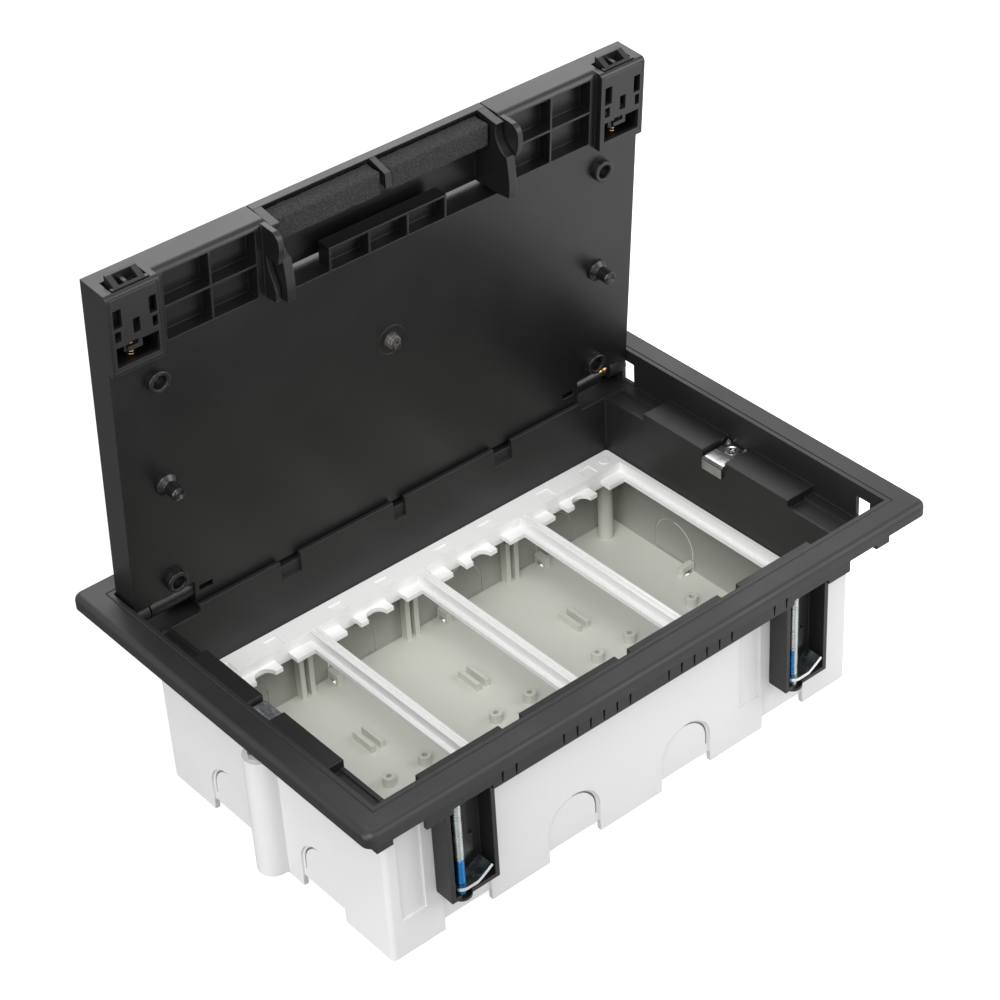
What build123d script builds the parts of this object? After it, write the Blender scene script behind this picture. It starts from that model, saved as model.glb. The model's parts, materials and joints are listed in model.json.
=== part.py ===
from build123d import *
import os
from math import cos, radians, sin

os.makedirs("parts", exist_ok=True)

# The floor socket box stands on the underside of its grey housing.
# X runs along the long side, Y towards the lid hinge, Z up. All sizes are in millimetres.
# The lid stands open against the rim, as far as it goes.

# Driving sizes of the rim and the lid opening. A setback is counted inwards from the opening or the lid's side.
rim_height = 87.4
rim_width = 11.6
rim_drop = 5.7
rim_thickness = 3.0
rim_lip = 2.0
rim_corner = 4.0
rim_round = 2.6
rim_line_inset = 1.8
rim_line_depth = 0.3
rim_line_width = 0.5
opening_length = 245.0
opening_width = 155.6

# Lid, measured from its outer face inwards and up from its hinge axis
lid_gap_side = 1.0
lid_gap_front = 0.6
lid_thickness = 12.3
lid_lean = 4.8
lid_recess = 3.0
lid_skin = 2.0
lid_edge_wall = 2.6
lid_rib = 1.6
lid_cell_depth = 5.8
hinge_setback = 6.9
hinge_depth = 7.5
hinge_edge = 6.0
hinge_round = 5.9
barrel_radius = 4.2
barrel_setbacks = (26.5, 7.6)
knuckle_gap = 0.6
pin_radius = 1.5
running_gap = 0.05
part_gap = 0.3

# Skirt, shelf and well of the black frame, measured down from the rim
skirt_wall = 1.8
skirt_drop = 22.5
skirt_setback = 19.5
post_drop = 19.8
post_size = 7.0
shelf_drop = 16.0
shelf_thickness = 1.6
ledge_gap = 0.3
ledge_setback = 36.8
ledge_gap_half = 6.5
front_ledge_width = 4.0
front_ledge_setback = 27.5
well_setback = (14.3, 13.6)
well_wall = 1.8
well_drop = 50.0
notch_drop = 21.5
notch_widths = (9.5, 6.0, 9.5)
cheek_slot_drop = 24.0
notch_recess = 1.2
shelf_channel_width = 7.6
shelf_channel_depth = 0.8
window_setbacks = (12.3, 10.8)
window_width = 7.0
window_height = 10.2
window_drop = 10.6
latch_gap_setback = 20.5
swing_gap = 0.3
swing_drop = 4.0
slit_pitch = 6.3
slit_group_start = 9.4
slit_group_count = 6
slit_pair_start = 62.8
slit_top = 15.4
slit_bottom = 21.8
slit_top_width = 1.3
slit_bottom_width = 0.5
slit_depth = 0.9

# Grey housing
box_setback = (8.1, 9.5)
box_wall = 2.0
box_corner = 2.0
floor_under = 4.7
floor_thickness = 2.0
bay_pitch = 53.0
arch_inner_width = 25.3
arch_inner_place = 28.1
arch_outer_width = 22.2
arch_outer_place = 79.4
arch_height = 26.0
arch_recess = 1.0
arch_inset = 1.0
arch_slit = 0.8
arch_slit_lift = 2.0
arch_line = 0.5
arch_line_depth = 0.5
column_radius = 6.5
column_out = 2.2
column_foot = 1.3
column_top_drop = 31.0
column_post_radius = 3.2
column_post_inset = (12.9, 9.8)
boss_radius = 2.6
boss_hole_radius = 1.1
boss_height = 4.4
centre_boss = (1.5, -3.6)
centre_boss_radius = 1.5
centre_boss_height = 1.6
boss_spread = 8.7
end_boss_spread = 10.3
floor_rib_length = 12.0
floor_rib_height = 3.6
floor_rib_width = 1.7
floor_rib_spread = 2.2
floor_rib_place = 24.0
wall_rib_depth = 4.5
wall_rib_width = 2.2
wall_rib_height = 21.0
wall_rib_spread = 2.2
lug_length = 7.3
lug_width = 2.6
lug_height = 4.6
lug_window_length = 4.0
lug_window_height = 2.2
groove_width = 11.0
groove_gap = 4.6
groove_depth = 0.7
groove_bottom = 17.0

# White module frame
module_drop = 41.7
module_height = 8.0
module_gap = 0.3
bar_width = 3.6
end_band = 10.4
module_ledge_drop = 4.3
module_ledge_thickness = 2.0
module_ledge_end = 5.5
module_ledge_side = 2.2
scallop_radius = 4.4
clip_notch_width = 6.8
clip_notch_place = 11.4
dimple_size = 6.0
dimple_depth = 0.4
dimple_place = 4.0
module_end_wall = 2.0
module_round = 1.5
module_rib = 3.0
module_skin = 2.0
bar_groove_width = 1.0
bar_groove_depth = 0.6
module_disc_radius = 2.2
module_disc_height = 0.4

# Claws that clamp the frame to the floor
claw_place = 82.5
claw_screw_offset = -4.2
claw_screw_setback = 3.4
claw_screw_radius = 2.0
claw_head_radius = 3.2
claw_head_height = 2.5
claw_head_drop = 18.8
claw_screw_end_drop = 69.5
housing_width = 21.8
housing_wall = 1.8
housing_back_wall = 1.0
housing_drop = 66.0
housing_floor = 1.6
housing_box_gap = 0.4
head_gap = 0.2
guide_rib_offset = 5.2
guide_rib_width = 4.2
guide_rib_depth = 1.2
guide_rib_drop = 46.0
stop_pad_offset = 6.9
stop_pad_width = 5.0
stop_pad_height = 8.0
claw_drop = 62.4
claw_sheet = 1.4
claw_reach = 12.4
claw_front = 4.2
claw_back = 3.0
claw_flat = 3.6
claw_bend = (9.4, 1.8)
claw_rise = 4.6
claw_tip = (1.1, 0.9)
claw_bend_top = (8.6, 3.0)
cross_length = 3.5
cross_width = 0.8
cross_depth = 1.2
screw_head_round = 0.6
retainer_radius = 4.0
retainer_thickness = 1.2

# Clips and screws that hold the housing to the frame
level_screw_setback = 4.3
level_screw_radius = 2.0
level_head_taper = 40
level_cross_depth = 0.6
level_screw_end_drop = 62.0
level_clip_width = 11.0
level_clip_setbacks = (15.5, 0.6)
level_clip_sheet = 1.2
level_clip_flange = 5.7
level_nut_radius = 3.4
level_nut_height = 2.0
level_clip_gap = 0.1
level_clip_bend = 0.9
level_clip_ear = (2.0, 1.0)
level_clip_ear_height = 1.4

# Latches in the free corners of the lid. A name that ends in back is counted from the lid's free edge.
latch_setback = 10.9
latch_width = 17.6
latch_cavity_width = 18.4
latch_catch_depth = 6.2
corner_block_width = 21.7
corner_block_length = 33.1
corner_block_depth = 15.3
corner_block_round = 2.0
latch_cavity_back = 30.9
latch_outer_skin = 2.2
latch_cover_width = 19.1
latch_cover_gap = 0.1
latch_cover_back = 31.5
latch_cover_end_back = 1.5
latch_cover_thickness = 1.6
latch_back = 27.1
latch_thickness = 4.6
latch_sink = 1.8
latch_head_width = 12.2
latch_head_shift = 0.6
latch_head_depths = (6.5, 7.7, 13.2)
latch_lip = 2.7
latch_lip_low = 0.4
latch_flange = (14.8, 1.5)
latch_flange_gap = 0.3
latch_travel = 3.4
latch_grip_width = 11.0
latch_grip_back = 13.5
latch_grip_length = 7.0
latch_grip_drop = 0.6
latch_grip_play = 0.5
latch_grip_ribs = 3
latch_grip_rib_pitch = 1.9
latch_grip_rib_start = 1.6
latch_grip_rib_width = 0.8
latch_head_back = 3.0
latch_ring_wall = 1.3
latch_ring_side = 2.2
latch_ring_back = 1.1
latch_ring_front = 0.9
latch_tongue = (1.4, 3.0)
latch_tongue_offset = -1.0
latch_leg_cut = (5.0, 4.2)
latch_leg_place = 6.2
latch_leg_lift = 2.0
latch_spring_slot = (3.2, 4.2)
latch_cover_round = 0.3
latch_wall_width = 4.2
spring_wire = 0.44
latch_spring_radius = 1.2
latch_spring_turns = 4

# Cable outlet flap in the middle of the free edge. Its outlines give distances back from that edge, and depths.
flap_half = 53.0
flap_gap = 0.4
notch_back = 32.9
flap_axis_back = 29.1
flap_axis_depth = 3.0
flap_plate_back = 30.9
flap_plate = 2.4
flap_end_wall = 3.6
flap_bar_depth = 3.6
flap_bar_wall = 1.5
flap_leg_edge = ((1.1, 14.4), (4.0, 13.7), (8.3, 14.8), (12.6, 20.1))
flap_leg_end = ((12.6, 20.1), (20.0, 21.6), (24.7, 22.0), (29.5, 21.7))
flap_leg_back = ((29.5, 21.7), (30.5, 15.0), (30.9, 4.6), (30.9, 0.0), (0.0, 0.0), (0.0, 3.0), (1.1, 14.4))
cheek_wall = 2.2
cheek_crest = ((0.5, 18.5), (2.6, 21.3), (6.6, 22.0), (11.1, 21.3), (13.3, 20.5))
cheek_step = ((13.3, 20.5), (11.9, 14.3))
cheek_slope = ((11.9, 14.3), (17.8, 15.1), (22.4, 17.4), (30.2, 18.3))
cheek_foot = ((30.2, 18.3), (31.1, 11.3), (0.5, 11.3), (0.5, 18.5))
stub_radius = 1.6
foam_back = 12.1
foam_depth = 11.3
hook_width = 2.6
hook_outline = ((0.0, 2.4), (2.2, 12.6), (8.4, 13.2), (8.2, 11.8), (3.4, 11.4), (1.5, 2.4))
foam_round = 0.8
comb_reach = 27.0
comb_fins = 4
comb_wall = 0.9
comb_start_depth = 6.0
comb_end_back = 23.0
comb_root = 0.2

# Bosses and pegs on the inner face of the lid
boss_setback = 18.3
boss_back = 43.8
boss_up = 11.7
lid_boss_radius = 4.4
lid_boss_hole = 2.9
lid_boss_height = 2.7
peg_up = 57.3
peg_height = 8.0
centre_peg_up = 72.0
centre_peg_height = 4.0
insert_thickness = 1.5
insert_screw_radius = 1.4
insert_screw_seat = 3.3
insert_head_height = 1.6
insert_head_gap = 0.2
insert_hole_gap = 0.2
lid_post_radius = 4.0
lid_edge_round = 3.0
recess_start = 6.5
cell_start = 9.0
cell_across = 6
cell_up = 3
cell_inset = 1.4
peg_foot_height = 2.0
peg_foot_taper = 20
peg_radius = 2.6
centre_foot_radius = 3.2
centre_peg_radius = 1.8
pocket_back = 30.1
pocket_end_wall = 2.2
pocket_latch_wall = 0.4
pocket_flap_wall = 3.0
pocket_rib = 0.9
recess_flap_wall = 3.8
recess_cheek_wall = 1.8
corner_cut_end = 5.0
barrel_cut_end = 5.6
barrel_cut_gap = 0.4
barrel_web = 5.0
barrel_cap = 1.5
hinge_slot = (6.0, 2.6)
hinge_slot_place = (5.0, 1.2)
hinge_slot_depth = 3.0
collar_radius = 2.45
collar_widths = (1.6, 1.5)
collar_places = (4.7, 1.9)
collar_room = 5.3
release_travel = 4.6
release_pin_start = 9.2
release_bore_radius = 2.6
release_bore_start = 4.2
release_spring_radius = 2.05
release_spring_turns = 5
spring_gap = 0.2

# Values worked out from the sizes above
lid_half = opening_length / 2 - lid_gap_side
hinge_y = opening_width / 2 - hinge_setback
hinge_z = rim_height - hinge_depth
lid_end = hinge_y + opening_width / 2 - lid_gap_front
rim_length = opening_length + 2 * rim_width
rim_depth = opening_width + 2 * rim_width
skirt_x = opening_length / 2
skirt_y = opening_width / 2
skirt_reach = skirt_x - skirt_setback
latch_gap_start = skirt_x - latch_gap_setback
well_length = opening_length - 2 * well_setback[0]
well_width = opening_width - 2 * well_setback[1]
ledge_reach = skirt_y - ledge_setback
front_ledge_reach = skirt_x - front_ledge_setback
window_places = (skirt_y - window_setbacks[0], window_setbacks[1] - skirt_y)
box_length = opening_length - 2 * box_setback[0]
box_width = opening_width - 2 * box_setback[1]
column_post_x = box_length / 2 - column_post_inset[0]
column_post_y = box_width / 2 - column_post_inset[1]
level_screw_x = skirt_x - level_screw_setback
level_clip_inner = skirt_x - level_clip_setbacks[0]
level_clip_outer = skirt_x - level_clip_setbacks[1]
barrel_inner = lid_half - barrel_setbacks[0]
barrel_outer = lid_half - barrel_setbacks[1]
latch_place = lid_half - latch_setback
boss_place = lid_half - boss_setback
boss_places_up = (lid_end - boss_back, boss_up)
latch_cavity_start = lid_end - latch_cavity_back
latch_cover_start = lid_end - latch_cover_back
latch_cover_end = lid_end - latch_cover_end_back
latch_start = lid_end - latch_back
latch_grip_start = lid_end - latch_grip_back
notch_start = lid_end - notch_back
flap_axis_start = lid_end - flap_axis_back
flap_plate_start = lid_end - flap_plate_back
foam_start = lid_end - foam_back
comb_end = lid_end - comb_end_back
pocket_start = lid_end - pocket_back
cover_depth = corner_block_depth - latch_cover_thickness
ledge_top = rim_height - lid_thickness - ledge_gap
shelf_top = rim_height - shelf_drop
shelf_under = shelf_top - shelf_thickness
box_height = shelf_under
floor_top = floor_under + floor_thickness
well_bottom = rim_height - well_drop
module_top = rim_height - module_drop
module_bottom = module_top - module_height
module_length = well_length - 2 * module_gap
module_width = well_width - 2 * module_gap
dividers = (-bay_pitch, 0.0, bay_pitch)

lid_up = (0, -sin(radians(lid_lean)), cos(radians(lid_lean)))
lid_plane = Plane(
    origin=(0, hinge_y, hinge_z),
    x_dir=(1, 0, 0),
    z_dir=(0, -cos(radians(lid_lean)), -sin(radians(lid_lean))),
)


def lid_level(depth):
    """The plane at this depth below the outer face of the lid."""
    return lid_plane.offset(depth - hinge_depth)


def side_plane(x):
    """A plane across the lid at this x, whose x runs up the lid and whose y runs inwards."""
    origin = lid_plane.from_local_coords(Vector(x, 0, -hinge_depth))
    return Plane(origin=origin, x_dir=lid_up, z_dir=(1, 0, 0))


def from_free_edge(points):
    """Turn distances back from the free edge into places up the lid."""
    return [(lid_end - back, depth) for back, depth in points]


def finish(part, name):
    """Name the piece and write it."""
    part.part.label = name
    export_step(part.part, "parts/" + name + ".step")


wall_planes = {
    "front": Plane(origin=(0, -box_width / 2, 0), x_dir=(1, 0, 0), z_dir=(0, -1, 0)),
    "back": Plane(origin=(0, box_width / 2, 0), x_dir=(-1, 0, 0), z_dir=(0, 1, 0)),
    "right": Plane(origin=(box_length / 2, 0, 0), x_dir=(0, 1, 0), z_dir=(1, 0, 0)),
    "left": Plane(origin=(-box_length / 2, 0, 0), x_dir=(0, -1, 0), z_dir=(-1, 0, 0)),
}
long_arches = [
    (-arch_outer_place, arch_outer_width),
    (-arch_inner_place, arch_inner_width),
    (arch_inner_place, arch_inner_width),
    (arch_outer_place, arch_outer_width),
]
short_arches = [(-arch_inner_place, arch_inner_width), (arch_inner_place, arch_inner_width)]


def arch(place, width, height, mode=Mode.ADD):
    """Draw a round-topped arch that stands on the lower edge of a wall."""
    spring = height - width / 2
    with Locations((place, spring / 2)):
        Rectangle(width, spring, mode=mode)
    with Locations((place, spring)):
        Circle(width / 2, mode=mode)


def half_ring(place, width, height, line, flank, low):
    """Draw a line of this width round one flank of an arch, from a low end to the crown."""
    arch(place, width, height)
    arch(place, width - 2 * line, height - line, mode=Mode.SUBTRACT)
    with Locations((place - flank * width / 2, height / 2)):
        Rectangle(width, 2 * height, mode=Mode.SUBTRACT)
    with Locations((place, low - height)):
        Rectangle(2 * width, 2 * height, mode=Mode.SUBTRACT)


# Grey housing, open at the top
with BuildPart() as floor_box:
    with BuildSketch(Plane.XY):
        RectangleRounded(box_length, box_width, box_corner)
    extrude(amount=box_height)
    with BuildSketch(Plane.XY.offset(column_foot)):
        for side in (-1, 1):
            with Locations((side * (box_length / 2 + column_out), 0)):
                Circle(column_radius)
            with Locations((side * (box_length + column_out - box_wall) / 2, 0)):
                Rectangle(column_out + box_wall, 2 * column_radius)
    extrude(amount=rim_height - column_top_drop - column_foot)
    with BuildSketch(Plane.XY.offset(floor_top)):
        RectangleRounded(box_length - 2 * box_wall, box_width - 2 * box_wall, box_corner / 2)
    extrude(amount=box_height, mode=Mode.SUBTRACT)
    with BuildSketch(Plane.XY):
        RectangleRounded(box_length - 2 * box_wall, box_width - 2 * box_wall, box_corner / 2)
    extrude(amount=floor_under, mode=Mode.SUBTRACT)
    # knock-out arches: a shallow recess, an open foot, a slit along one flank and a fine line along the other
    for wall, plane in wall_planes.items():
        arches = long_arches if wall in ("front", "back") else short_arches
        flank = 1 if wall in ("front", "back") else -1
        for place, width in arches:
            with BuildSketch(plane):
                arch(place, width, arch_height)
            extrude(amount=-arch_recess, mode=Mode.SUBTRACT)
            with BuildSketch(plane):
                with Locations((place, floor_under / 2)):
                    Rectangle(width, floor_under)
            extrude(amount=-box_wall, mode=Mode.SUBTRACT)
            inner_width = width - 2 * arch_inset
            inner_height = arch_height - arch_inset
            with BuildSketch(plane):
                half_ring(place, inner_width, inner_height, arch_slit, flank, floor_top + arch_slit_lift)
            extrude(amount=-box_wall, mode=Mode.SUBTRACT)
            with BuildSketch(plane.offset(-box_wall)):
                half_ring(place, inner_width, inner_height, arch_line, -flank, floor_top)
                with Locations((place, floor_top + arch_line / 2)):
                    Rectangle(inner_width, arch_line)
            extrude(amount=arch_line_depth, mode=Mode.SUBTRACT)
    # shallow grooves beside the claw housings
    for wall in ("front", "back"):
        for place in (-claw_place, claw_place):
            groove_x = place - housing_width / 2 - groove_gap - groove_width / 2
            with BuildSketch(wall_planes[wall]):
                with Locations((groove_x, (groove_bottom + box_height) / 2)):
                    Rectangle(groove_width, box_height - groove_bottom)
            extrude(amount=-groove_depth, mode=Mode.SUBTRACT)
    # posts that carry the module frame
    with BuildSketch(Plane.XY.offset(floor_top)):
        with GridLocations(2 * column_post_x, 2 * column_post_y, 2, 2):
            Circle(column_post_radius)
    extrude(amount=module_bottom - floor_top)
    # screw bosses and ribs on the floor and the long walls
    boss_xs = [d + side * boss_spread for d in dividers for side in (-1, 1)]
    boss_xs += [end * (2 * bay_pitch - end_boss_spread) for end in (-1, 1)]
    with BuildSketch(Plane.XY.offset(floor_top)):
        with Locations(*[(x, 0) for x in boss_xs]):
            Circle(boss_radius)
            Circle(boss_hole_radius, mode=Mode.SUBTRACT)
    extrude(amount=boss_height)
    with BuildSketch(Plane.XY.offset(floor_top)):
        for d in dividers:
            for side in (-1, 1):
                for end in (-1, 1):
                    with Locations((d + side * floor_rib_spread, end * floor_rib_place)):
                        Rectangle(floor_rib_width, floor_rib_length)
    extrude(amount=floor_rib_height)
    inner_y = box_width / 2 - box_wall
    with BuildSketch(Plane.XY.offset(floor_top)):
        for d in dividers:
            for side in (-1, 1):
                for end in (-1, 1):
                    with Locations((d + side * wall_rib_spread, end * (inner_y - wall_rib_depth / 2))):
                        Rectangle(wall_rib_width, wall_rib_depth)
    extrude(amount=wall_rib_height)
    with BuildSketch(Plane.XY.offset(floor_top)):
        with Locations(centre_boss):
            Circle(centre_boss_radius)
    extrude(amount=centre_boss_height)
    # a cable loop stands at the slit of each knock-out, over a slot in the floor
    for wall, plane in wall_planes.items():
        arches = long_arches if wall in ("front", "back") else short_arches
        flank = 1 if wall in ("front", "back") else -1
        for place, width in arches:
            lug_place = place + flank * (width / 2 - arch_inset)
            with BuildSketch(plane.offset(-box_wall)):
                with Locations((lug_place, floor_top + lug_height / 2)):
                    Rectangle(lug_width, lug_height)
            extrude(amount=-lug_length)
            with BuildSketch(plane.offset(-box_wall - (lug_length - lug_window_length) / 2)):
                with Locations((lug_place, floor_under + (floor_thickness + lug_window_height) / 2)):
                    Rectangle(lug_width, floor_thickness + lug_window_height)
            extrude(amount=-lug_window_length, mode=Mode.SUBTRACT)
    # bores for the screws that pull the housing up to the frame
    with BuildSketch(Plane.XY.offset(rim_height - level_screw_end_drop - part_gap)):
        for side in (-1, 1):
            with Locations((side * level_screw_x, 0)):
                Circle(level_screw_radius + part_gap)
    extrude(amount=box_height, mode=Mode.SUBTRACT)
    # room in the front wall for the cheeks of the closed lid
    with BuildSketch(Plane.XY.offset(rim_height - cheek_slot_drop)):
        with Locations(*[(place, -box_width / 2) for place in (-bay_pitch, bay_pitch)]):
            Rectangle(notch_widths[0], 4 * box_wall)
    extrude(amount=box_height, mode=Mode.SUBTRACT)

finish(floor_box, "floor_box")

# Places of the four claw sets: name, x and whether the set is turned to the back
claw_sets = [
    ("front_left", 1, -claw_place),
    ("front_right", 1, claw_place),
    ("back_left", -1, claw_place),
    ("back_right", -1, -claw_place),
]


def claw_plane(side, place):
    """The horizontal plane of one claw housing, x along the wall and -y out of it."""
    return Plane(origin=(side * place, 0, 0), x_dir=(side, 0, 0), z_dir=(0, 0, 1))


claw_y = -(skirt_y - claw_screw_setback)
housing_front = -(skirt_y - part_gap / 2)
housing_back = -(box_width / 2 + housing_box_gap)
housing_centre = (housing_front + housing_back) / 2
housing_depth = housing_back - housing_front
head_seat = rim_height - claw_head_drop
housing_top = head_seat - shelf_thickness

# Black frame: rim, skirt, shelf, well and the four claw housings
with BuildPart() as floor_frame:
    with BuildSketch(Plane.XY.offset(rim_height - rim_drop)):
        RectangleRounded(rim_length, rim_depth, rim_corner)
    extrude(amount=rim_drop)
    fillet(floor_frame.faces().sort_by(Axis.Z)[-1].edges(), rim_round)
    with BuildSketch(Plane.XY.offset(rim_height - rim_drop)):
        RectangleRounded(rim_length - 2 * rim_lip, rim_depth - 2 * rim_lip, rim_corner - rim_lip)
    extrude(amount=rim_drop - rim_thickness, mode=Mode.SUBTRACT)
    # skirt below the rim, with the shelf inside it
    with BuildSketch(Plane.XY.offset(shelf_under)):
        Rectangle(opening_length + 2 * skirt_wall, opening_width + 2 * skirt_wall)
    extrude(amount=rim_height - rim_thickness - shelf_under)
    for end in (-1, 1):
        with BuildSketch(Plane.XY.offset(rim_height - skirt_drop)):
            with Locations((0, end * (skirt_y + skirt_wall / 2))):
                Rectangle(2 * skirt_reach, skirt_wall)
        extrude(amount=skirt_drop - shelf_drop)
    for x_side in (-1, 1):
        for end in (-1, 1):
            with BuildSketch(Plane.XY.offset(rim_height - post_drop)):
                with Locations((x_side * (skirt_x + skirt_wall - post_size / 2), end * (skirt_y + skirt_wall / 2))):
                    Rectangle(post_size, skirt_wall)
                with Locations((x_side * (skirt_x + skirt_wall / 2), end * (skirt_y + skirt_wall - post_size / 2))):
                    Rectangle(skirt_wall, post_size)
            extrude(amount=post_drop - shelf_drop)
    with BuildSketch(Plane.XY.offset(shelf_top)):
        Rectangle(opening_length, opening_width)
    extrude(amount=shelf_drop, mode=Mode.SUBTRACT)
    # fine line round the top of the rim
    with BuildSketch(Plane.XY.offset(rim_height - rim_line_depth)):
        Rectangle(opening_length + 2 * (rim_line_inset + rim_line_width),
                  opening_width + 2 * (rim_line_inset + rim_line_width))
        Rectangle(opening_length + 2 * rim_line_inset, opening_width + 2 * rim_line_inset, mode=Mode.SUBTRACT)
    extrude(amount=rim_line_depth, mode=Mode.SUBTRACT)
    # well wall, high where the lid bears on it
    with BuildSketch(Plane.XY.offset(well_bottom)):
        Rectangle(well_length + 2 * well_wall, well_width + 2 * well_wall)
    extrude(amount=shelf_top - well_bottom)
    with BuildSketch(Plane.XY.offset(shelf_top)):
        with Locations((0, well_width / 2 + well_wall / 2)):
            Rectangle(2 * front_ledge_reach, well_wall)
        with Locations((0, -well_width / 2 - front_ledge_width / 2)):
            Rectangle(2 * front_ledge_reach, front_ledge_width)
        ledge_depth = skirt_x - well_length / 2
        ledge_span = ledge_reach - ledge_gap_half
        for x_side in (-1, 1):
            for end in (-1, 1):
                with Locations((x_side * (well_length / 2 + ledge_depth / 2),
                                end * (ledge_gap_half + ledge_span / 2))):
                    Rectangle(ledge_depth, ledge_span)
    extrude(amount=ledge_top - shelf_top)
    with BuildSketch(Plane.XY.offset(well_bottom)):
        Rectangle(well_length, well_width)
    extrude(amount=rim_height, mode=Mode.SUBTRACT)
    # notches in the well wall and the front ledge
    for d, width in zip(dividers, notch_widths):
        with BuildSketch(Plane.XY.offset(shelf_top)):
            with Locations((d, 0)):
                Rectangle(width, opening_width)
        extrude(amount=ledge_top - shelf_top, mode=Mode.SUBTRACT)
        with BuildSketch(Plane.XY.offset(rim_height - notch_drop)):
            with Locations((d, (well_width + notch_recess) / 2)):
                Rectangle(width, notch_recess)
        extrude(amount=notch_drop - shelf_drop, mode=Mode.SUBTRACT)
        with BuildSketch(Plane.XY.offset(rim_height - cheek_slot_drop)):
            with Locations((d, -(well_width + well_wall) / 2)):
                Rectangle(width, well_wall)
        extrude(amount=cheek_slot_drop - shelf_drop, mode=Mode.SUBTRACT)
    # slots that the cheeks of the closed lid reach into
    with BuildSketch(Plane.XY.offset(shelf_under)):
        with Locations(*[(place, -(well_width / 2 + skirt_y) / 2) for place in (-bay_pitch, bay_pitch)]):
            Rectangle(notch_widths[0], skirt_y - well_width / 2)
    extrude(amount=shelf_thickness, mode=Mode.SUBTRACT)
    # channels in the shelf beside the short ledges
    with BuildSketch(Plane.XY.offset(shelf_top)):
        channel_length = well_width / 2 - ledge_reach
        for x_side in (-1, 1):
            for end in (-1, 1):
                with Locations((x_side * (well_length / 2 + well_wall + shelf_channel_width / 2),
                                end * (ledge_reach + channel_length / 2))):
                    Rectangle(shelf_channel_width, channel_length)
    extrude(amount=-shelf_channel_depth, mode=Mode.SUBTRACT)
    # windows at the corners and gaps that the latches spring into
    latch_gap_end = skirt_x + skirt_wall - post_size
    for x_side in (-1, 1):
        for window_y in window_places:
            with BuildSketch(Plane(origin=(x_side * skirt_x, 0, 0), x_dir=(0, 1, 0), z_dir=(1, 0, 0))):
                with Locations((window_y, rim_height - window_drop)):
                    Rectangle(window_width, window_height)
            extrude(amount=skirt_wall, both=True, mode=Mode.SUBTRACT)
        for end in (-1, 1):
            with BuildSketch(Plane.XY.offset(shelf_top)):
                with Locations((x_side * (latch_gap_start + latch_gap_end) / 2, end * (skirt_y + skirt_wall / 2))):
                    Rectangle(latch_gap_end - latch_gap_start, skirt_wall)
            extrude(amount=shelf_drop - latch_catch_depth, mode=Mode.SUBTRACT)
    # relief in the back wall for the hinge edge of the lid, which rests against it when open
    swing_reach = hinge_y + hinge_depth + swing_gap
    rest_reach = hinge_y + hinge_depth * (1 - sin(radians(lid_lean))) + swing_gap
    with BuildSketch(Plane.YZ.offset(-lid_half - swing_gap)):
        with BuildLine():
            Polyline(
                (hinge_y, hinge_z - swing_drop),
                (swing_reach, hinge_z - swing_drop),
                (swing_reach, hinge_z),
                (rest_reach, rim_height),
                (hinge_y, rim_height),
                close=True,
            )
        make_face()
    extrude(amount=2 * (lid_half + swing_gap), mode=Mode.SUBTRACT)
    # slits that let the skirt give
    slit_places = [slit_group_start + slit_pitch * k for k in range(slit_group_count)]
    slit_places += [slit_pair_start, slit_pair_start + slit_pitch]
    for wall_plane in (Plane.XZ.offset(skirt_y + skirt_wall), Plane.XZ.offset(-skirt_y)):
        with BuildSketch(wall_plane):
            for x in [side * p for p in slit_places for side in (-1, 1)]:
                with BuildLine():
                    Polyline(
                        (x - slit_top_width / 2, rim_height - slit_top),
                        (x + slit_top_width / 2, rim_height - slit_top),
                        (x + slit_bottom_width / 2, rim_height - slit_bottom),
                        (x - slit_bottom_width / 2, rim_height - slit_bottom),
                        close=True,
                    )
                make_face()
        extrude(amount=-slit_depth, mode=Mode.SUBTRACT)
    # claw housings, open towards the floor slab
    for name, side, place in claw_sets:
        plane = claw_plane(side, place)
        with BuildSketch(plane.offset(rim_height - housing_drop)):
            with Locations((0, housing_centre)):
                Rectangle(housing_width, housing_depth)
        extrude(amount=housing_drop - shelf_drop - shelf_thickness)
        cavity_depth = housing_depth - housing_back_wall
        with BuildSketch(plane.offset(rim_height - housing_drop + housing_floor)):
            with Locations((0, housing_front + cavity_depth / 2 - 1)):
                Rectangle(housing_width - 2 * housing_wall, cavity_depth + 2)
        extrude(amount=housing_top - (rim_height - housing_drop + housing_floor), mode=Mode.SUBTRACT)
        # guide rib and stop pad on the back of the housing
        back_face = housing_back - housing_back_wall
        rib_foot = rim_height - guide_rib_drop
        with BuildSketch(plane.offset(rib_foot)):
            with Locations((claw_screw_offset + guide_rib_offset, back_face - guide_rib_depth / 2)):
                Rectangle(guide_rib_width, guide_rib_depth)
        extrude(amount=housing_top - rib_foot)
        with BuildSketch(plane.offset(rib_foot)):
            with Locations((claw_screw_offset + stop_pad_offset, back_face - guide_rib_depth / 2)):
                Rectangle(stop_pad_width, guide_rib_depth)
        extrude(amount=-stop_pad_height)
        # screw seat, screw hole and the open slot in the floor of the housing
        with BuildSketch(plane.offset(head_seat)):
            with Locations((claw_screw_offset, claw_y)):
                Circle(claw_head_radius + head_gap)
        extrude(amount=rim_height - claw_head_drop, mode=Mode.SUBTRACT)
        with BuildSketch(plane.offset(housing_top)):
            with Locations((claw_screw_offset, claw_y)):
                Circle(claw_screw_radius + part_gap)
        extrude(amount=shelf_drop, mode=Mode.SUBTRACT)
        with BuildSketch(plane.offset(rim_height - housing_drop)):
            with Locations((claw_screw_offset, claw_y)):
                Circle(claw_screw_radius + part_gap)
            with Locations((claw_screw_offset, claw_y - housing_depth / 2)):
                Rectangle(2 * (claw_screw_radius + part_gap), housing_depth)
        extrude(amount=housing_floor, mode=Mode.SUBTRACT)
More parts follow.
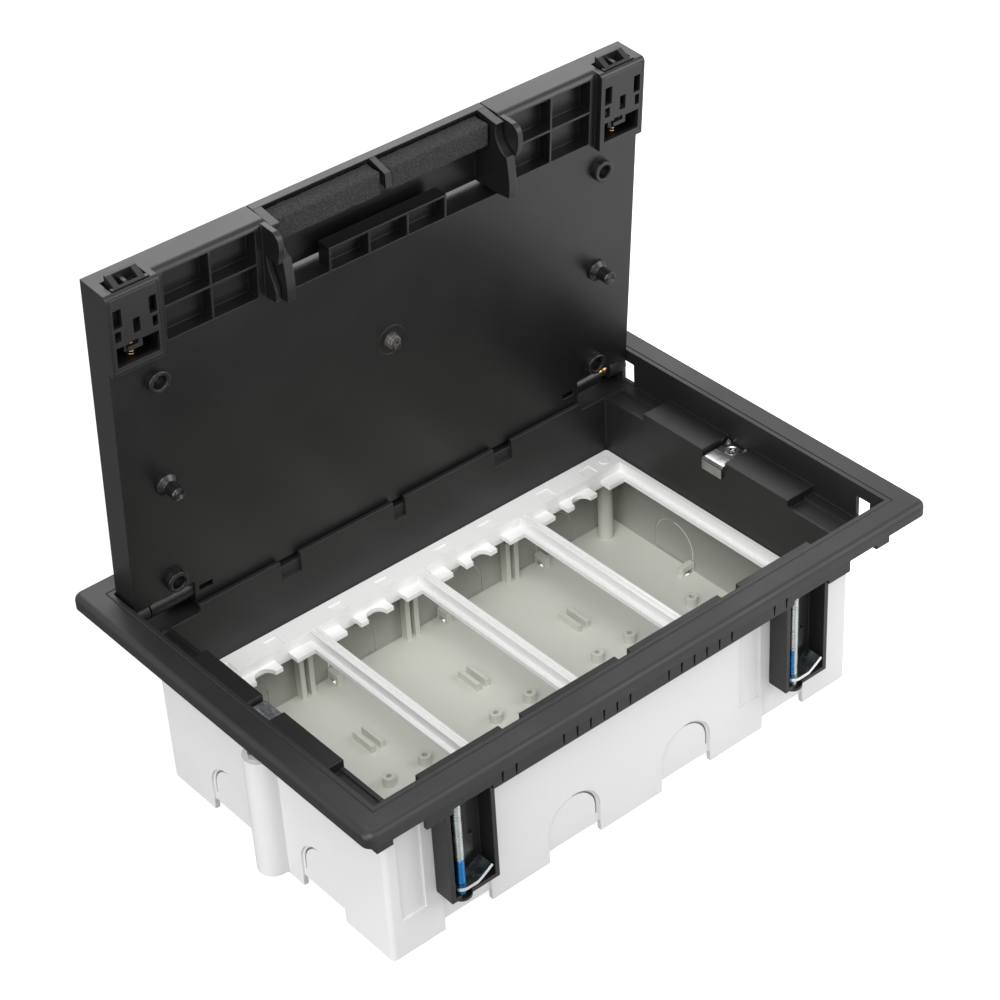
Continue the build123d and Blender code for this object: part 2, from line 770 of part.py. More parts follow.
    # seats and holes for the level screws
    with BuildSketch(Plane.XY.offset(shelf_under)):
        for x_side in (-1, 1):
            with Locations((x_side * level_screw_x, 0)):
                Circle(level_screw_radius + part_gap)
    extrude(amount=shelf_thickness, mode=Mode.SUBTRACT)
    # hinge knuckles in the back corners
    for x_side in (-1, 1):
        knuckle_start = barrel_outer + knuckle_gap
        with BuildSketch(Plane(origin=(x_side * knuckle_start, hinge_y, hinge_z), x_dir=(0, 1, 0), z_dir=(x_side, 0, 0))):
            Circle(barrel_radius)
            Circle(pin_radius + running_gap, mode=Mode.SUBTRACT)
        extrude(amount=skirt_x - knuckle_start)

finish(floor_frame, "floor_frame")

# White module frame with four bays
bay_edges = []
for index in range(len(dividers) + 1):
    low = module_end_wall - module_length / 2 if index == 0 else dividers[index - 1] + bar_width / 2
    high = module_length / 2 - module_end_wall if index == len(dividers) else dividers[index] - bar_width / 2
    bay_edges.append((low, high))
bay_half = module_width / 2 - end_band

with BuildPart() as module_frame:
    with BuildSketch(Plane.XY.offset(module_bottom)):
        RectangleRounded(module_length, module_width, module_round)
    extrude(amount=module_height)
    with BuildSketch(Plane.XY.offset(module_bottom)):
        for end in (-1, 1):
            with Locations((0, end * (bay_half + end_band / 2))):
                Rectangle(2 * (column_post_x - column_post_radius - module_rib), end_band - module_rib)
    extrude(amount=module_height - module_skin, mode=Mode.SUBTRACT)
    for low, high in bay_edges:
        centre = (low + high) / 2
        width = high - low
        with BuildSketch(Plane.XY.offset(module_top - module_ledge_drop)):
            with Locations((centre, 0)):
                Rectangle(width, 2 * bay_half)
        extrude(amount=module_ledge_drop, mode=Mode.SUBTRACT)
        with BuildSketch(Plane.XY.offset(module_bottom)):
            with Locations((centre, 0)):
                Rectangle(width - 2 * module_ledge_side, 2 * (bay_half - module_ledge_end))
            for end in (-1, 1):
                with Locations((centre, end * (bay_half - module_ledge_end))):
                    Circle(scallop_radius)
                for side in (-1, 1):
                    with Locations((centre + side * clip_notch_place, end * (bay_half - module_ledge_end / 2))):
                        Rectangle(clip_notch_width, module_ledge_end)
        extrude(amount=module_height, mode=Mode.SUBTRACT)
        under = module_height - module_ledge_drop - module_ledge_thickness
        with BuildSketch(Plane.XY.offset(module_bottom)):
            with Locations((centre, 0)):
                Rectangle(width, 2 * bay_half)
        extrude(amount=under, mode=Mode.SUBTRACT)
        with BuildSketch(Plane.XY.offset(module_top - dimple_depth)):
            for end in (-1, 1):
                for side in (-1, 1):
                    with Locations((centre + side * clip_notch_place, end * (bay_half + dimple_place))):
                        Rectangle(dimple_size, dimple_size)
        extrude(amount=dimple_depth, mode=Mode.SUBTRACT)
    with BuildSketch(Plane.XY.offset(module_top - bar_groove_depth)):
        with Locations(*[(d, 0) for d in dividers]):
            Rectangle(bar_groove_width, 2 * bay_half)
    extrude(amount=bar_groove_depth, mode=Mode.SUBTRACT)
    with BuildSketch(Plane.XY.offset(module_top)):
        with GridLocations(2 * column_post_x, 2 * column_post_y, 2, 2):
            Circle(module_disc_radius)
    extrude(amount=module_disc_height)

finish(module_frame, "module_frame")

# Clip, screw and nut on each short side, which hold the housing to the frame
level_clip_top = shelf_top + level_clip_sheet
for name, side in (("left", -1), ("right", 1)):
    clip_centre = (level_clip_inner + level_clip_outer) / 2
    flange_sheet = well_length / 2 - level_clip_gap - level_clip_inner
    with BuildPart() as level_clip:
        with BuildSketch(Plane.XY.offset(shelf_top)):
            with Locations((side * clip_centre, 0)):
                Rectangle(level_clip_outer - level_clip_inner, level_clip_width)
        extrude(amount=level_clip_sheet)
        with BuildSketch(Plane.XY.offset(shelf_top - level_clip_flange + level_clip_sheet)):
            with Locations((side * (level_clip_inner + flange_sheet / 2), 0)):
                Rectangle(flange_sheet, level_clip_width)
        extrude(amount=level_clip_flange)
        bend = level_clip.edges().filter_by(Axis.Y).group_by(Axis.Z)[-1].sort_by(lambda e: abs(e.center().X))[0]
        fillet(bend, level_clip_bend)
        with BuildSketch(Plane.XY.offset(shelf_top)):
            with Locations((side * level_screw_x, 0)):
                Circle(level_screw_radius + running_gap)
        extrude(amount=level_clip_sheet, taper=-level_head_taper, mode=Mode.SUBTRACT)
        # two turned-up corners
        with BuildSketch(Plane.XY.offset(level_clip_top)):
            ear_length, ear_width = level_clip_ear
            for end in (-1, 1):
                with Locations((side * (level_clip_outer - ear_length / 2), end * (level_clip_width - ear_width) / 2)):
                    Rectangle(ear_length, ear_width)
        extrude(amount=level_clip_ear_height)
    finish(level_clip, "level_clip_" + name)

    with BuildPart() as level_screw:
        with BuildSketch(Plane.XY.offset(rim_height - level_screw_end_drop)):
            with Locations((side * level_screw_x, 0)):
                Circle(level_screw_radius)
        extrude(amount=shelf_top - (rim_height - level_screw_end_drop))
        with BuildSketch(Plane.XY.offset(shelf_top)):
            with Locations((side * level_screw_x, 0)):
                Circle(level_screw_radius)
        extrude(amount=level_clip_sheet, taper=-level_head_taper)
        with BuildSketch(Plane.XY.offset(level_clip_top)):
            with Locations((side * level_screw_x, 0)):
                Rectangle(cross_length, cross_width)
                Rectangle(cross_width, cross_length)
        extrude(amount=-level_cross_depth, mode=Mode.SUBTRACT)
    finish(level_screw, "level_screw_" + name)

    with BuildPart() as level_nut:
        with BuildSketch(Plane.XY.offset(rim_height - column_top_drop)):
            with Locations((side * level_screw_x, 0)):
                RegularPolygon(level_nut_radius, 6)
                Circle(level_screw_radius + running_gap, mode=Mode.SUBTRACT)
        extrude(amount=level_nut_height)
    finish(level_nut, "level_nut_" + name)

# Lid shell, ribbed inside and open at its outer face for the floor covering
lid_start = -hinge_edge
recess_end = lid_end - lid_edge_wall
insert_depth = lid_recess + insert_thickness
latch_wall = latch_place - latch_cavity_width / 2 - latch_wall_width
latch_clear_start = latch_cavity_start - latch_wall_width
flap_clear_start = notch_start - recess_flap_wall
flap_clear_half = flap_half + cheek_wall + recess_cheek_wall
cell_end = flap_clear_start


def recess_outline(slack):
    """Draw the outline of the recess for the insert plate, less a slack all round."""
    span = recess_end - recess_start
    with Locations((0, recess_start + span / 2)):
        Rectangle(2 * (lid_half - lid_edge_wall - slack), span - 2 * slack)
    with Locations((0, (flap_clear_start + lid_end) / 2 - slack / 2)):
        Rectangle(2 * (flap_clear_half + slack), lid_end - flap_clear_start + slack, mode=Mode.SUBTRACT)
    corner_width = lid_half - latch_wall + slack
    for side in (-1, 1):
        with Locations((side * (lid_half - corner_width / 2), (latch_clear_start + lid_end) / 2 - slack / 2)):
            Rectangle(corner_width, lid_end - latch_clear_start + slack, mode=Mode.SUBTRACT)


def pocket_cells(outer_x, inner_x, start, end):
    """Draw the four open cells beside a latch, two by two."""
    width = (abs(outer_x - inner_x) - pocket_rib) / 2
    height = (end - start - pocket_rib) / 2
    with Locations(((outer_x + inner_x) / 2, (start + end) / 2)):
        with GridLocations(width + pocket_rib, height + pocket_rib, 2, 2):
            Rectangle(width, height)


with BuildPart() as lid:
    with BuildSketch(lid_level(0)):
        with Locations((0, (lid_start + lid_end) / 2)):
            Rectangle(2 * lid_half, lid_end - lid_start)
    extrude(amount=lid_thickness)
    hinge_corner = lid.edges().filter_by(Axis.X).sort_by(lambda e: e.center().Y + (rim_height - e.center().Z))[-1]
    fillet(hinge_corner, hinge_round)
    inner_edge = lid.faces().sort_by(Axis.Z)[-1].edges().filter_by(Axis.X).sort_by(Axis.Y)[0]
    fillet(inner_edge, lid_edge_round)
    # thicker corners, which hold the latches
    with BuildSketch(lid_level(latch_outer_skin)):
        for side in (-1, 1):
            with Locations((side * (lid_half - corner_block_width / 2), lid_end - corner_block_length / 2)):
                Rectangle(corner_block_width, corner_block_length)
    extrude(amount=corner_block_depth - latch_outer_skin)
    block_edges = lid.edges().filter_by(Axis.X).group_by(Axis.Y)[0].sort_by(Axis.Z)[-2:]
    fillet(block_edges, corner_block_round)
    # cheeks beside the cable flap
    for side in (-1, 1):
        with BuildSketch(side_plane(side * flap_half)):
            with BuildLine():
                Spline(*from_free_edge(cheek_crest))
                Polyline(*from_free_edge(cheek_step))
                Spline(*from_free_edge(cheek_slope))
                Polyline(*from_free_edge(cheek_foot))
            make_face()
        extrude(amount=side * cheek_wall)
    # recess for the insert plate and the floor covering
    with BuildSketch(lid_level(0)):
        recess_outline(0)
    extrude(amount=insert_depth, mode=Mode.SUBTRACT)
    # ribbed cells under the insert plate
    cell_width = (2 * (lid_half - lid_edge_wall - cell_inset) - (cell_across - 1) * lid_rib) / cell_across
    cell_length = (cell_end - cell_start - (cell_up - 1) * lid_rib) / cell_up
    with BuildSketch(lid_level(insert_depth)):
        with Locations((0, (cell_start + cell_end) / 2)):
            with GridLocations(cell_width + lid_rib, cell_length + lid_rib, cell_across, cell_up):
                Rectangle(cell_width, cell_length)
    extrude(amount=lid_cell_depth, mode=Mode.SUBTRACT)
    # posts for the insert screws, pegs and bosses
    post_places = [(side * boss_place, up) for side in (-1, 1) for up in boss_places_up]
    with BuildSketch(lid_level(insert_depth)):
        with Locations(*post_places):
            Circle(lid_post_radius)
    extrude(amount=lid_cell_depth)
    with BuildSketch(lid_level(lid_thickness)):
        with Locations(*post_places):
            Circle(lid_boss_radius)
    extrude(amount=lid_boss_height)
    with BuildSketch(lid_level(lid_thickness + lid_boss_height)):
        with Locations(*post_places):
            Circle(lid_boss_hole)
    extrude(amount=-(lid_boss_height + insert_screw_seat), mode=Mode.SUBTRACT)
    with BuildSketch(lid_level(insert_depth)):
        with Locations(*post_places):
            Circle(insert_screw_radius + insert_hole_gap)
    extrude(amount=lid_thickness, mode=Mode.SUBTRACT)
    peg_places = [(-boss_place, peg_up), (boss_place, peg_up)]
    with BuildSketch(lid_level(lid_thickness)):
        with Locations(*peg_places):
            Circle(lid_boss_radius)
        with Locations((0, centre_peg_up)):
            Circle(centre_foot_radius)
    extrude(amount=peg_foot_height, taper=peg_foot_taper)
    with BuildSketch(lid_level(lid_thickness)):
        with Locations(*peg_places):
            Circle(peg_radius)
    extrude(amount=peg_height)
    with BuildSketch(lid_level(lid_thickness)):
        with Locations((0, centre_peg_up)):
            Circle(centre_peg_radius)
    extrude(amount=centre_peg_height)
    # open rib cells between the latches and the cable flap
    with BuildSketch(lid_level(lid_thickness)):
        for side in (-1, 1):
            pocket_cells(side * (latch_wall - pocket_latch_wall),
                         side * (flap_half + cheek_wall + pocket_flap_wall),
                         pocket_start, lid_end - pocket_end_wall)
    extrude(amount=-(lid_thickness - insert_depth - lid_skin), mode=Mode.SUBTRACT)
    # opening for the cable flap, closed by a comb that guides the cables
    with BuildSketch(lid_level(0)):
        with Locations((0, (notch_start + lid_end) / 2)):
            Rectangle(2 * flap_half, lid_end - notch_start)
    extrude(amount=lid_thickness, mode=Mode.SUBTRACT)
    with BuildSketch(lid_level(comb_start_depth)):
        with Locations((0, (notch_start - comb_root + comb_end) / 2)):
            Rectangle(2 * comb_reach, comb_end - notch_start + comb_root)
    extrude(amount=comb_wall)
    with BuildSketch(lid_level(comb_start_depth)):
        with Locations((0, comb_end - comb_wall / 2)):
            Rectangle(2 * comb_reach, comb_wall)
        with Locations((0, (notch_start + comb_end) / 2)):
            with GridLocations((2 * comb_reach - comb_wall) / (comb_fins - 1), 1, comb_fins, 1):
                Rectangle(comb_wall, comb_end - notch_start)
    extrude(amount=lid_thickness - comb_start_depth)
    # pivot holes of the flap
    with BuildSketch(side_plane(-flap_half - cheek_wall)):
        with Locations((flap_axis_start, flap_axis_depth)):
            Circle(stub_radius + running_gap)
    extrude(amount=2 * (flap_half + cheek_wall), mode=Mode.SUBTRACT)
    # latch cavities with a thumb opening through the outer face
    for side in (-1, 1):
        latch_cavity_end = lid_end - lid_edge_wall
        with BuildSketch(lid_level(latch_outer_skin)):
            with Locations((side * latch_place, (latch_cavity_start + latch_cavity_end) / 2)):
                Rectangle(latch_cavity_width, latch_cavity_end - latch_cavity_start)
        extrude(amount=corner_block_depth, mode=Mode.SUBTRACT)
        with BuildSketch(lid_level(latch_catch_depth)):
            with Locations((side * (latch_place - latch_head_shift), lid_end)):
                Rectangle(latch_flange[0] + 2 * latch_flange_gap, 2 * lid_edge_wall)
        extrude(amount=cover_depth - latch_catch_depth, mode=Mode.SUBTRACT)
        with BuildSketch(lid_level(cover_depth)):
            with Locations((side * latch_place, (latch_cover_start + latch_cover_end) / 2)):
                Rectangle(latch_cover_width + 2 * latch_cover_gap,
                          latch_cover_end - latch_cover_start + 2 * latch_cover_gap)
        extrude(amount=latch_cover_thickness, mode=Mode.SUBTRACT)
        grip_span = latch_grip_length + latch_travel + 2 * latch_grip_play
        with BuildSketch(lid_level(0)):
            with Locations((side * latch_place, latch_grip_start - latch_travel - latch_grip_play + grip_span / 2)):
                Rectangle(latch_grip_width + 2 * latch_grip_play, grip_span)
        extrude(amount=latch_outer_skin, mode=Mode.SUBTRACT)
    # free the corners for the knuckles and the inner side for the hinge barrels
    for side in (-1, 1):
        corner = lid_half - barrel_outer
        with BuildSketch(lid_level(0)):
            with Locations((side * (barrel_outer + corner / 2), (lid_start + corner_cut_end) / 2)):
                Rectangle(corner, corner_cut_end - lid_start)
        extrude(amount=lid_thickness, mode=Mode.SUBTRACT)
        barrel_length = barrel_outer - barrel_inner
        with BuildSketch(lid_level(hinge_depth - barrel_radius + barrel_cut_gap)):
            with Locations((side * (barrel_inner + barrel_length / 2), (lid_start + barrel_cut_end) / 2)):
                Rectangle(barrel_length, barrel_cut_end - lid_start)
        extrude(amount=lid_thickness, mode=Mode.SUBTRACT)
        barrel_end = barrel_outer if side < 0 else barrel_outer - collar_room
        with BuildSketch(side_plane(side * barrel_inner)):
            with Locations((0, hinge_depth)):
                Circle(barrel_radius)
            with Locations((0, hinge_depth - barrel_radius / 2)):
                Rectangle(barrel_web, barrel_radius)
        extrude(amount=side * (barrel_end - barrel_inner))
        with BuildSketch(side_plane(side * (barrel_inner + barrel_cap))):
            with Locations((0, hinge_depth)):
                Circle(pin_radius + running_gap)
        extrude(amount=side * barrel_length, mode=Mode.SUBTRACT)
        with BuildSketch(lid_level(lid_thickness)):
            with Locations((side * (barrel_inner - hinge_slot_place[0]), hinge_slot_place[1])):
                Rectangle(*hinge_slot)
        extrude(amount=-hinge_slot_depth, mode=Mode.SUBTRACT)
    # spring chamber of the release pin
    with BuildSketch(side_plane(barrel_inner + release_bore_start)):
        with Locations((0, hinge_depth)):
            Circle(release_bore_radius)
    extrude(amount=barrel_length, mode=Mode.SUBTRACT)

finish(lid, "lid")

# Steel insert plate and its screws
with BuildPart() as insert_plate:
    with BuildSketch(lid_level(lid_recess)):
        recess_outline(part_gap)
    extrude(amount=insert_thickness)
    with BuildSketch(lid_level(lid_recess)):
        with Locations(*post_places):
            Circle(insert_screw_radius + running_gap)
    extrude(amount=insert_thickness, mode=Mode.SUBTRACT)

finish(insert_plate, "insert_plate")

screw_seat = lid_thickness - insert_screw_seat
with BuildPart() as insert_screws:
    with BuildSketch(lid_level(lid_recess)):
        with Locations(*post_places):
            Circle(insert_screw_radius)
    extrude(amount=screw_seat - lid_recess)
    with BuildSketch(lid_level(screw_seat)):
        with Locations(*post_places):
            Circle(lid_boss_hole - insert_head_gap)
    extrude(amount=insert_head_height)

finish(insert_screws, "insert_screws")

# Fixed pin of the left hinge
with BuildPart() as hinge_pin:
    with BuildSketch(side_plane(spring_gap - skirt_x)):
        with Locations((0, hinge_depth)):
            Circle(pin_radius)
    extrude(amount=skirt_x - 2 * spring_gap - barrel_inner - barrel_cap)

finish(hinge_pin, "hinge_pin")

# Sliding brass pin of the right hinge, with two collars to grip it by
pin_start = barrel_inner + release_pin_start
pin_end = barrel_outer + knuckle_gap + release_travel - spring_gap
with BuildPart() as release_pin:
    with BuildSketch(side_plane(pin_start)):
        with Locations((0, hinge_depth)):
            Circle(pin_radius)
    extrude(amount=pin_end - pin_start)
    for collar_place, collar_width in zip(collar_places, collar_widths):
        with BuildSketch(side_plane(barrel_outer - collar_place)):
            with Locations((0, hinge_depth)):
                Circle(collar_radius)
        extrude(amount=collar_width)

finish(release_pin, "release_pin")


def coil(origin, direction, length, radius, wire, turns, name):
    """Wind a spring of this free length along a direction."""
    pitch = (length - wire) / turns
    axis = Vector(*direction)
    start = Vector(*origin) + axis * wire / 2
    with BuildPart() as spring:
        with BuildLine() as path:
            Helix(pitch=pitch, height=pitch * turns, radius=radius, center=start, direction=axis)
        with BuildSketch(Plane(origin=path.line @ 0, z_dir=path.line % 0)):
            Rectangle(wire, wire)
        sweep(is_frenet=True)
    finish(spring, name)


release_spring_start = barrel_inner + release_bore_start + spring_gap
release_spring_length = barrel_outer - collar_places[0] - spring_gap - release_spring_start
release_origin = side_plane(release_spring_start).from_local_coords(Vector(0, hinge_depth, 0))
coil(release_origin, (1, 0, 0), release_spring_length, release_spring_radius, spring_wire, release_spring_turns,
     "release_spring")

# Openings of a latch cover: x from its middle, distance back from the free edge, width and height
cover_openings = (
    (-7.1, 10.0, 3.5, 7.6),
    (7.3, 10.0, 3.2, 7.2),
    (0.3, 15.5, 2.9, 6.1),
    (-7.4, 17.2, 2.6, 4.2),
    (7.7, 17.1, 2.2, 4.4),
)
cover_window = (17.4, 8.3)
cover_window_back = 25.8
cover_tongue = (5.8, 4.1)
cover_tongue_place = (-1.0, 22.6)
cover_slot = (4.4, 2.0)
cover_slot_place = (-1.7, 22.1)

# Latches: slider, cover plate and spring in each free corner
latch_body_end = lid_end - latch_head_back
latch_tip = lid_end + latch_lip
latch_depth_end = cover_depth - latch_sink
latch_depth_start = latch_depth_end - latch_thickness
head_start, head_edge, head_end = latch_head_depths
for name, side in (("left", -1), ("right", 1)):
    centre = side * latch_place
    with BuildPart() as latch:
        with BuildSketch(lid_level(latch_depth_start)):
            with Locations((centre, (latch_start + latch_body_end) / 2)):
                Rectangle(latch_width, latch_body_end - latch_start)
        extrude(amount=latch_thickness)
        # head: a wedge that the rim pushes in as the lid closes, with a flange in front
        head_centre = centre - side * latch_head_shift
        with BuildSketch(side_plane(head_centre - latch_head_width / 2)):
            with BuildLine():
                Polyline((latch_body_end - latch_ring_back, head_start), (latch_tip, head_start),
                         (latch_tip, head_edge), (lid_end + latch_lip_low, head_end),
                         (latch_body_end - latch_ring_back, head_end), close=True)
            make_face()
        extrude(amount=latch_head_width)
        with BuildSketch(lid_level(head_end)):
            with Locations((head_centre, (latch_body_end + lid_end + latch_lip_low) / 2)):
                Rectangle(latch_flange[0], lid_end + latch_lip_low - latch_body_end)
        extrude(amount=-latch_flange[1])
        # ring opening at the free edge, with a tongue in it
        ring_start = latch_body_end + latch_ring_back
        with BuildSketch(lid_level(head_start + latch_ring_wall)):
            with Locations((head_centre, (ring_start + latch_tip) / 2)):
                Rectangle(latch_head_width - 2 * latch_ring_side, latch_tip - ring_start)
            with Locations((head_centre + latch_tongue_offset, ring_start + latch_tongue[1] / 2)):
                Rectangle(*latch_tongue, mode=Mode.SUBTRACT)
        extrude(amount=head_end - head_start - latch_ring_wall - latch_ring_front, mode=Mode.SUBTRACT)
        # ribbed thumb grip in the outer face
        with BuildSketch(lid_level(latch_grip_drop)):
            with Locations((centre, latch_grip_start + latch_grip_length / 2)):
                Rectangle(latch_grip_width, latch_grip_length)
        extrude(amount=latch_depth_start - latch_grip_drop)
        with BuildSketch(lid_level(latch_grip_drop)):
            for k in range(latch_grip_ribs):
                with Locations((centre, latch_grip_start + latch_grip_rib_start + latch_grip_rib_pitch * k)):
                    Rectangle(latch_grip_width, latch_grip_rib_width)
        extrude(amount=latch_grip_rib_width, mode=Mode.SUBTRACT)
        # cut the corners away and open a slot for the spring
        with BuildSketch(lid_level(latch_depth_start)):
            for leg in (-1, 1):
                with Locations((centre + leg * latch_leg_place, latch_start + latch_leg_lift)):
                    Rectangle(*latch_leg_cut)
        extrude(amount=latch_thickness, mode=Mode.SUBTRACT)
        with BuildSketch(lid_level(latch_depth_start)):
            with Locations((centre, latch_start + latch_spring_slot[1] / 2)):
                Rectangle(*latch_spring_slot)
        extrude(amount=latch_thickness, mode=Mode.SUBTRACT)
    finish(latch, "latch_" + name)

    with BuildPart() as latch_cover:
        cover_middle = (latch_cover_start + latch_cover_end) / 2
        with BuildSketch(lid_level(cover_depth)):
            with Locations((centre, cover_middle)):
                Rectangle(latch_cover_width, latch_cover_end - latch_cover_start)
        extrude(amount=latch_cover_thickness)
        chamfer(latch_cover.faces().sort_by(Axis.Y)[0].edges(), latch_cover_round)
        # openings, the same way round in both covers
        with BuildSketch(lid_level(cover_depth)):
            for x, back, width, height in cover_openings:
                with Locations((centre + x, lid_end - back)):
                    Rectangle(width, height)
            with Locations((centre, lid_end - cover_window_back)):
                Rectangle(*cover_window)
            with Locations((centre + cover_tongue_place[0], lid_end - cover_tongue_place[1])):
                Rectangle(*cover_tongue, mode=Mode.SUBTRACT)
            with Locations((centre + cover_slot_place[0], lid_end - cover_slot_place[1])):
                Rectangle(*cover_slot)
        extrude(amount=latch_cover_thickness, mode=Mode.SUBTRACT)
    finish(latch_cover, "latch_cover_" + name)

    spring_depth = latch_depth_start + latch_thickness / 2
    spring_start = latch_cavity_start + spring_gap
    spring_origin = lid_plane.from_local_coords(Vector(centre, spring_start, spring_depth - hinge_depth))
    spring_length = latch_start + latch_spring_slot[1] - spring_gap - spring_start
    coil(spring_origin, lid_up, spring_length, latch_spring_radius, spring_wire, latch_spring_turns,
         "latch_spring_" + name)

# Cable outlet flap: plate, end plates with curved legs, edge bar and the hook between the pads
with BuildPart() as cable_flap:
    with BuildSketch(lid_level(0)):
        with Locations((0, (flap_plate_start + lid_end) / 2)):
            Rectangle(2 * (flap_half - flap_gap), lid_end - flap_plate_start)
    extrude(amount=flap_plate)
    with BuildSketch(lid_level(flap_plate)):
        with Locations((0, lid_end - flap_bar_wall / 2)):
            Rectangle(2 * (flap_half - flap_gap), flap_bar_wall)
    extrude(amount=flap_bar_depth - flap_plate)
    for side in (-1, 1):
        end_x = flap_half - flap_gap - flap_end_wall
        with BuildSketch(side_plane(end_x if side > 0 else -end_x - flap_end_wall)):
            with BuildLine():
                Spline(*from_free_edge(flap_leg_edge))
                Spline(*from_free_edge(flap_leg_end))
                Polyline(*from_free_edge(flap_leg_back))
            make_face()
        extrude(amount=flap_end_wall)
        with BuildSketch(side_plane(side * (flap_half - flap_gap))):
            with Locations((flap_axis_start, flap_axis_depth)):
                Circle(stub_radius)
        extrude(amount=side * (cheek_wall + flap_gap - 0.2))
    with BuildSketch(side_plane(-hook_width / 2)):
        with BuildLine():
            Polyline(*from_free_edge(hook_outline), close=True)
        make_face()
    extrude(amount=hook_width)

finish(cable_flap, "cable_flap")

for name, side in (("left", -1), ("right", 1)):
    pad_inner = hook_width / 2 + part_gap
    pad_outer = flap_half - flap_gap - flap_end_wall - part_gap
    pad_end = lid_end - flap_bar_wall - part_gap
    with BuildPart() as foam_pad:
        with BuildSketch(lid_level(flap_plate + part_gap)):
            with Locations((side * (pad_inner + pad_outer) / 2, (foam_start + pad_end) / 2)):
                Rectangle(pad_outer - pad_inner, pad_end - foam_start)
        extrude(amount=foam_depth - flap_plate - part_gap)
        fillet(foam_pad.faces().sort_by(Axis.Y)[0].edges().filter_by(Axis.X), foam_round)
    finish(foam_pad, "foam_pad_" + name)


def claw_side_plane(side, place):
    """The upright plane of one claw set, x along the wall and z out of it."""
    origin = (side * (place + claw_screw_offset), side * claw_y, 0)
    return Plane(origin=origin, x_dir=(side, 0, 0), z_dir=(0, -side, 0))


# Claw sets: screw, claw and the retainer that keeps the claw on
claw_low = rim_height - claw_drop
for name, side, place in claw_sets:
    plane = claw_plane(side, place)
    upright = claw_side_plane(side, place)
    screw_end = rim_height - claw_screw_end_drop
    with BuildPart() as claw_screw:
        with BuildSketch(plane.offset(screw_end)):
            with Locations((claw_screw_offset, claw_y)):
                Circle(claw_screw_radius)
        extrude(amount=head_seat - screw_end)
        with BuildSketch(plane.offset(head_seat)):
            with Locations((claw_screw_offset, claw_y)):
                Circle(claw_head_radius)
        extrude(amount=claw_head_height)
        chamfer(claw_screw.faces().sort_by(Axis.Z)[-1].edges(), screw_head_round)
        with BuildSketch(plane.offset(head_seat + claw_head_height)):
            with Locations((claw_screw_offset, claw_y)):
                Rectangle(cross_length, cross_width)
                Rectangle(cross_width, cross_length)
        extrude(amount=-cross_depth, mode=Mode.SUBTRACT)
    finish(claw_screw, "claw_screw_" + name)

    with BuildPart() as claw:
        with BuildSketch(upright.offset(-claw_front)):
            with BuildLine():
                Polyline(
                    (-claw_front, claw_low),
                    (claw_flat, claw_low),
                    (claw_bend[0], claw_low + claw_bend[1]),
                    (claw_reach, claw_low + claw_rise),
                    (claw_reach - claw_tip[0], claw_low + claw_rise + claw_tip[1]),
                    (claw_bend_top[0], claw_low + claw_bend_top[1]),
                    (claw_flat, claw_low + claw_sheet),
                    (-claw_front, claw_low + claw_sheet),
                    close=True,
                )
            make_face()
        extrude(amount=2 * claw_front)
        with BuildSketch(plane.offset(claw_low)):
            with Locations((claw_screw_offset, claw_y)):
                Circle(claw_front)
            with Locations((claw_screw_offset + claw_reach / 2, claw_y + (claw_back - claw_front) / 2)):
                Rectangle(claw_reach, claw_back + claw_front)
        extrude(amount=claw_rise + claw_sheet, mode=Mode.INTERSECT)
        with BuildSketch(plane.offset(claw_low)):
            with Locations((claw_screw_offset, claw_y)):
                Circle(claw_screw_radius + running_gap)
        extrude(amount=claw_sheet, mode=Mode.SUBTRACT)
    finish(claw, "claw_" + name)

    with BuildPart() as retainer:
        with BuildSketch(plane.offset(rim_height - housing_drop - part_gap - retainer_thickness)):
            with Locations((claw_screw_offset, claw_y)):
                Circle(retainer_radius)
                Circle(claw_screw_radius, mode=Mode.SUBTRACT)
        extrude(amount=retainer_thickness)
    finish(retainer, "claw_retainer_" + name)
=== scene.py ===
# %% [markdown]
# This lesson dresses a floor socket box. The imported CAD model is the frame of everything: each piece stands
# where the model has it. One mesh library and one vector library are enough.

import math

import bmesh
import bpy
from mathutils import Matrix, Vector, noise
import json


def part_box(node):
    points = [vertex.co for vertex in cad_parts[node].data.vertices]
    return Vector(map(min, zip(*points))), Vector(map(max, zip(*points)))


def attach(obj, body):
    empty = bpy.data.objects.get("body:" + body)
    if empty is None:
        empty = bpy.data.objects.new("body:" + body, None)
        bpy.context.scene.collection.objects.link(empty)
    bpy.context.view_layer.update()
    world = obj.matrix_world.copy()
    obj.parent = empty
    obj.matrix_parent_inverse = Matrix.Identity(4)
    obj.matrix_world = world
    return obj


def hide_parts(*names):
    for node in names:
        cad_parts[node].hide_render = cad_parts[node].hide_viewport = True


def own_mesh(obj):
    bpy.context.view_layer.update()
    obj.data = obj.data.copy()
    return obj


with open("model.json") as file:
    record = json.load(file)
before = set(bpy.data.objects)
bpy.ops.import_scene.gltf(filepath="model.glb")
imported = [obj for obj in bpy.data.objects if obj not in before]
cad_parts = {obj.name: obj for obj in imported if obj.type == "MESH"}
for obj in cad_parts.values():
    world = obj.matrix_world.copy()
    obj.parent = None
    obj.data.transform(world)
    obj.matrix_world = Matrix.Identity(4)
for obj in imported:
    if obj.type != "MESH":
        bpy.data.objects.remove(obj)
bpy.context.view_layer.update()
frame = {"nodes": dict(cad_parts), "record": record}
nodes = frame["nodes"]
scene = bpy.context.scene
MM = 0.001

# %% [markdown]
# The camera stands in front of the left corner and looks down on the box. It is built from a place, a target
# and a small roll, because a matrix made from three directions needs no constraint and no second object.

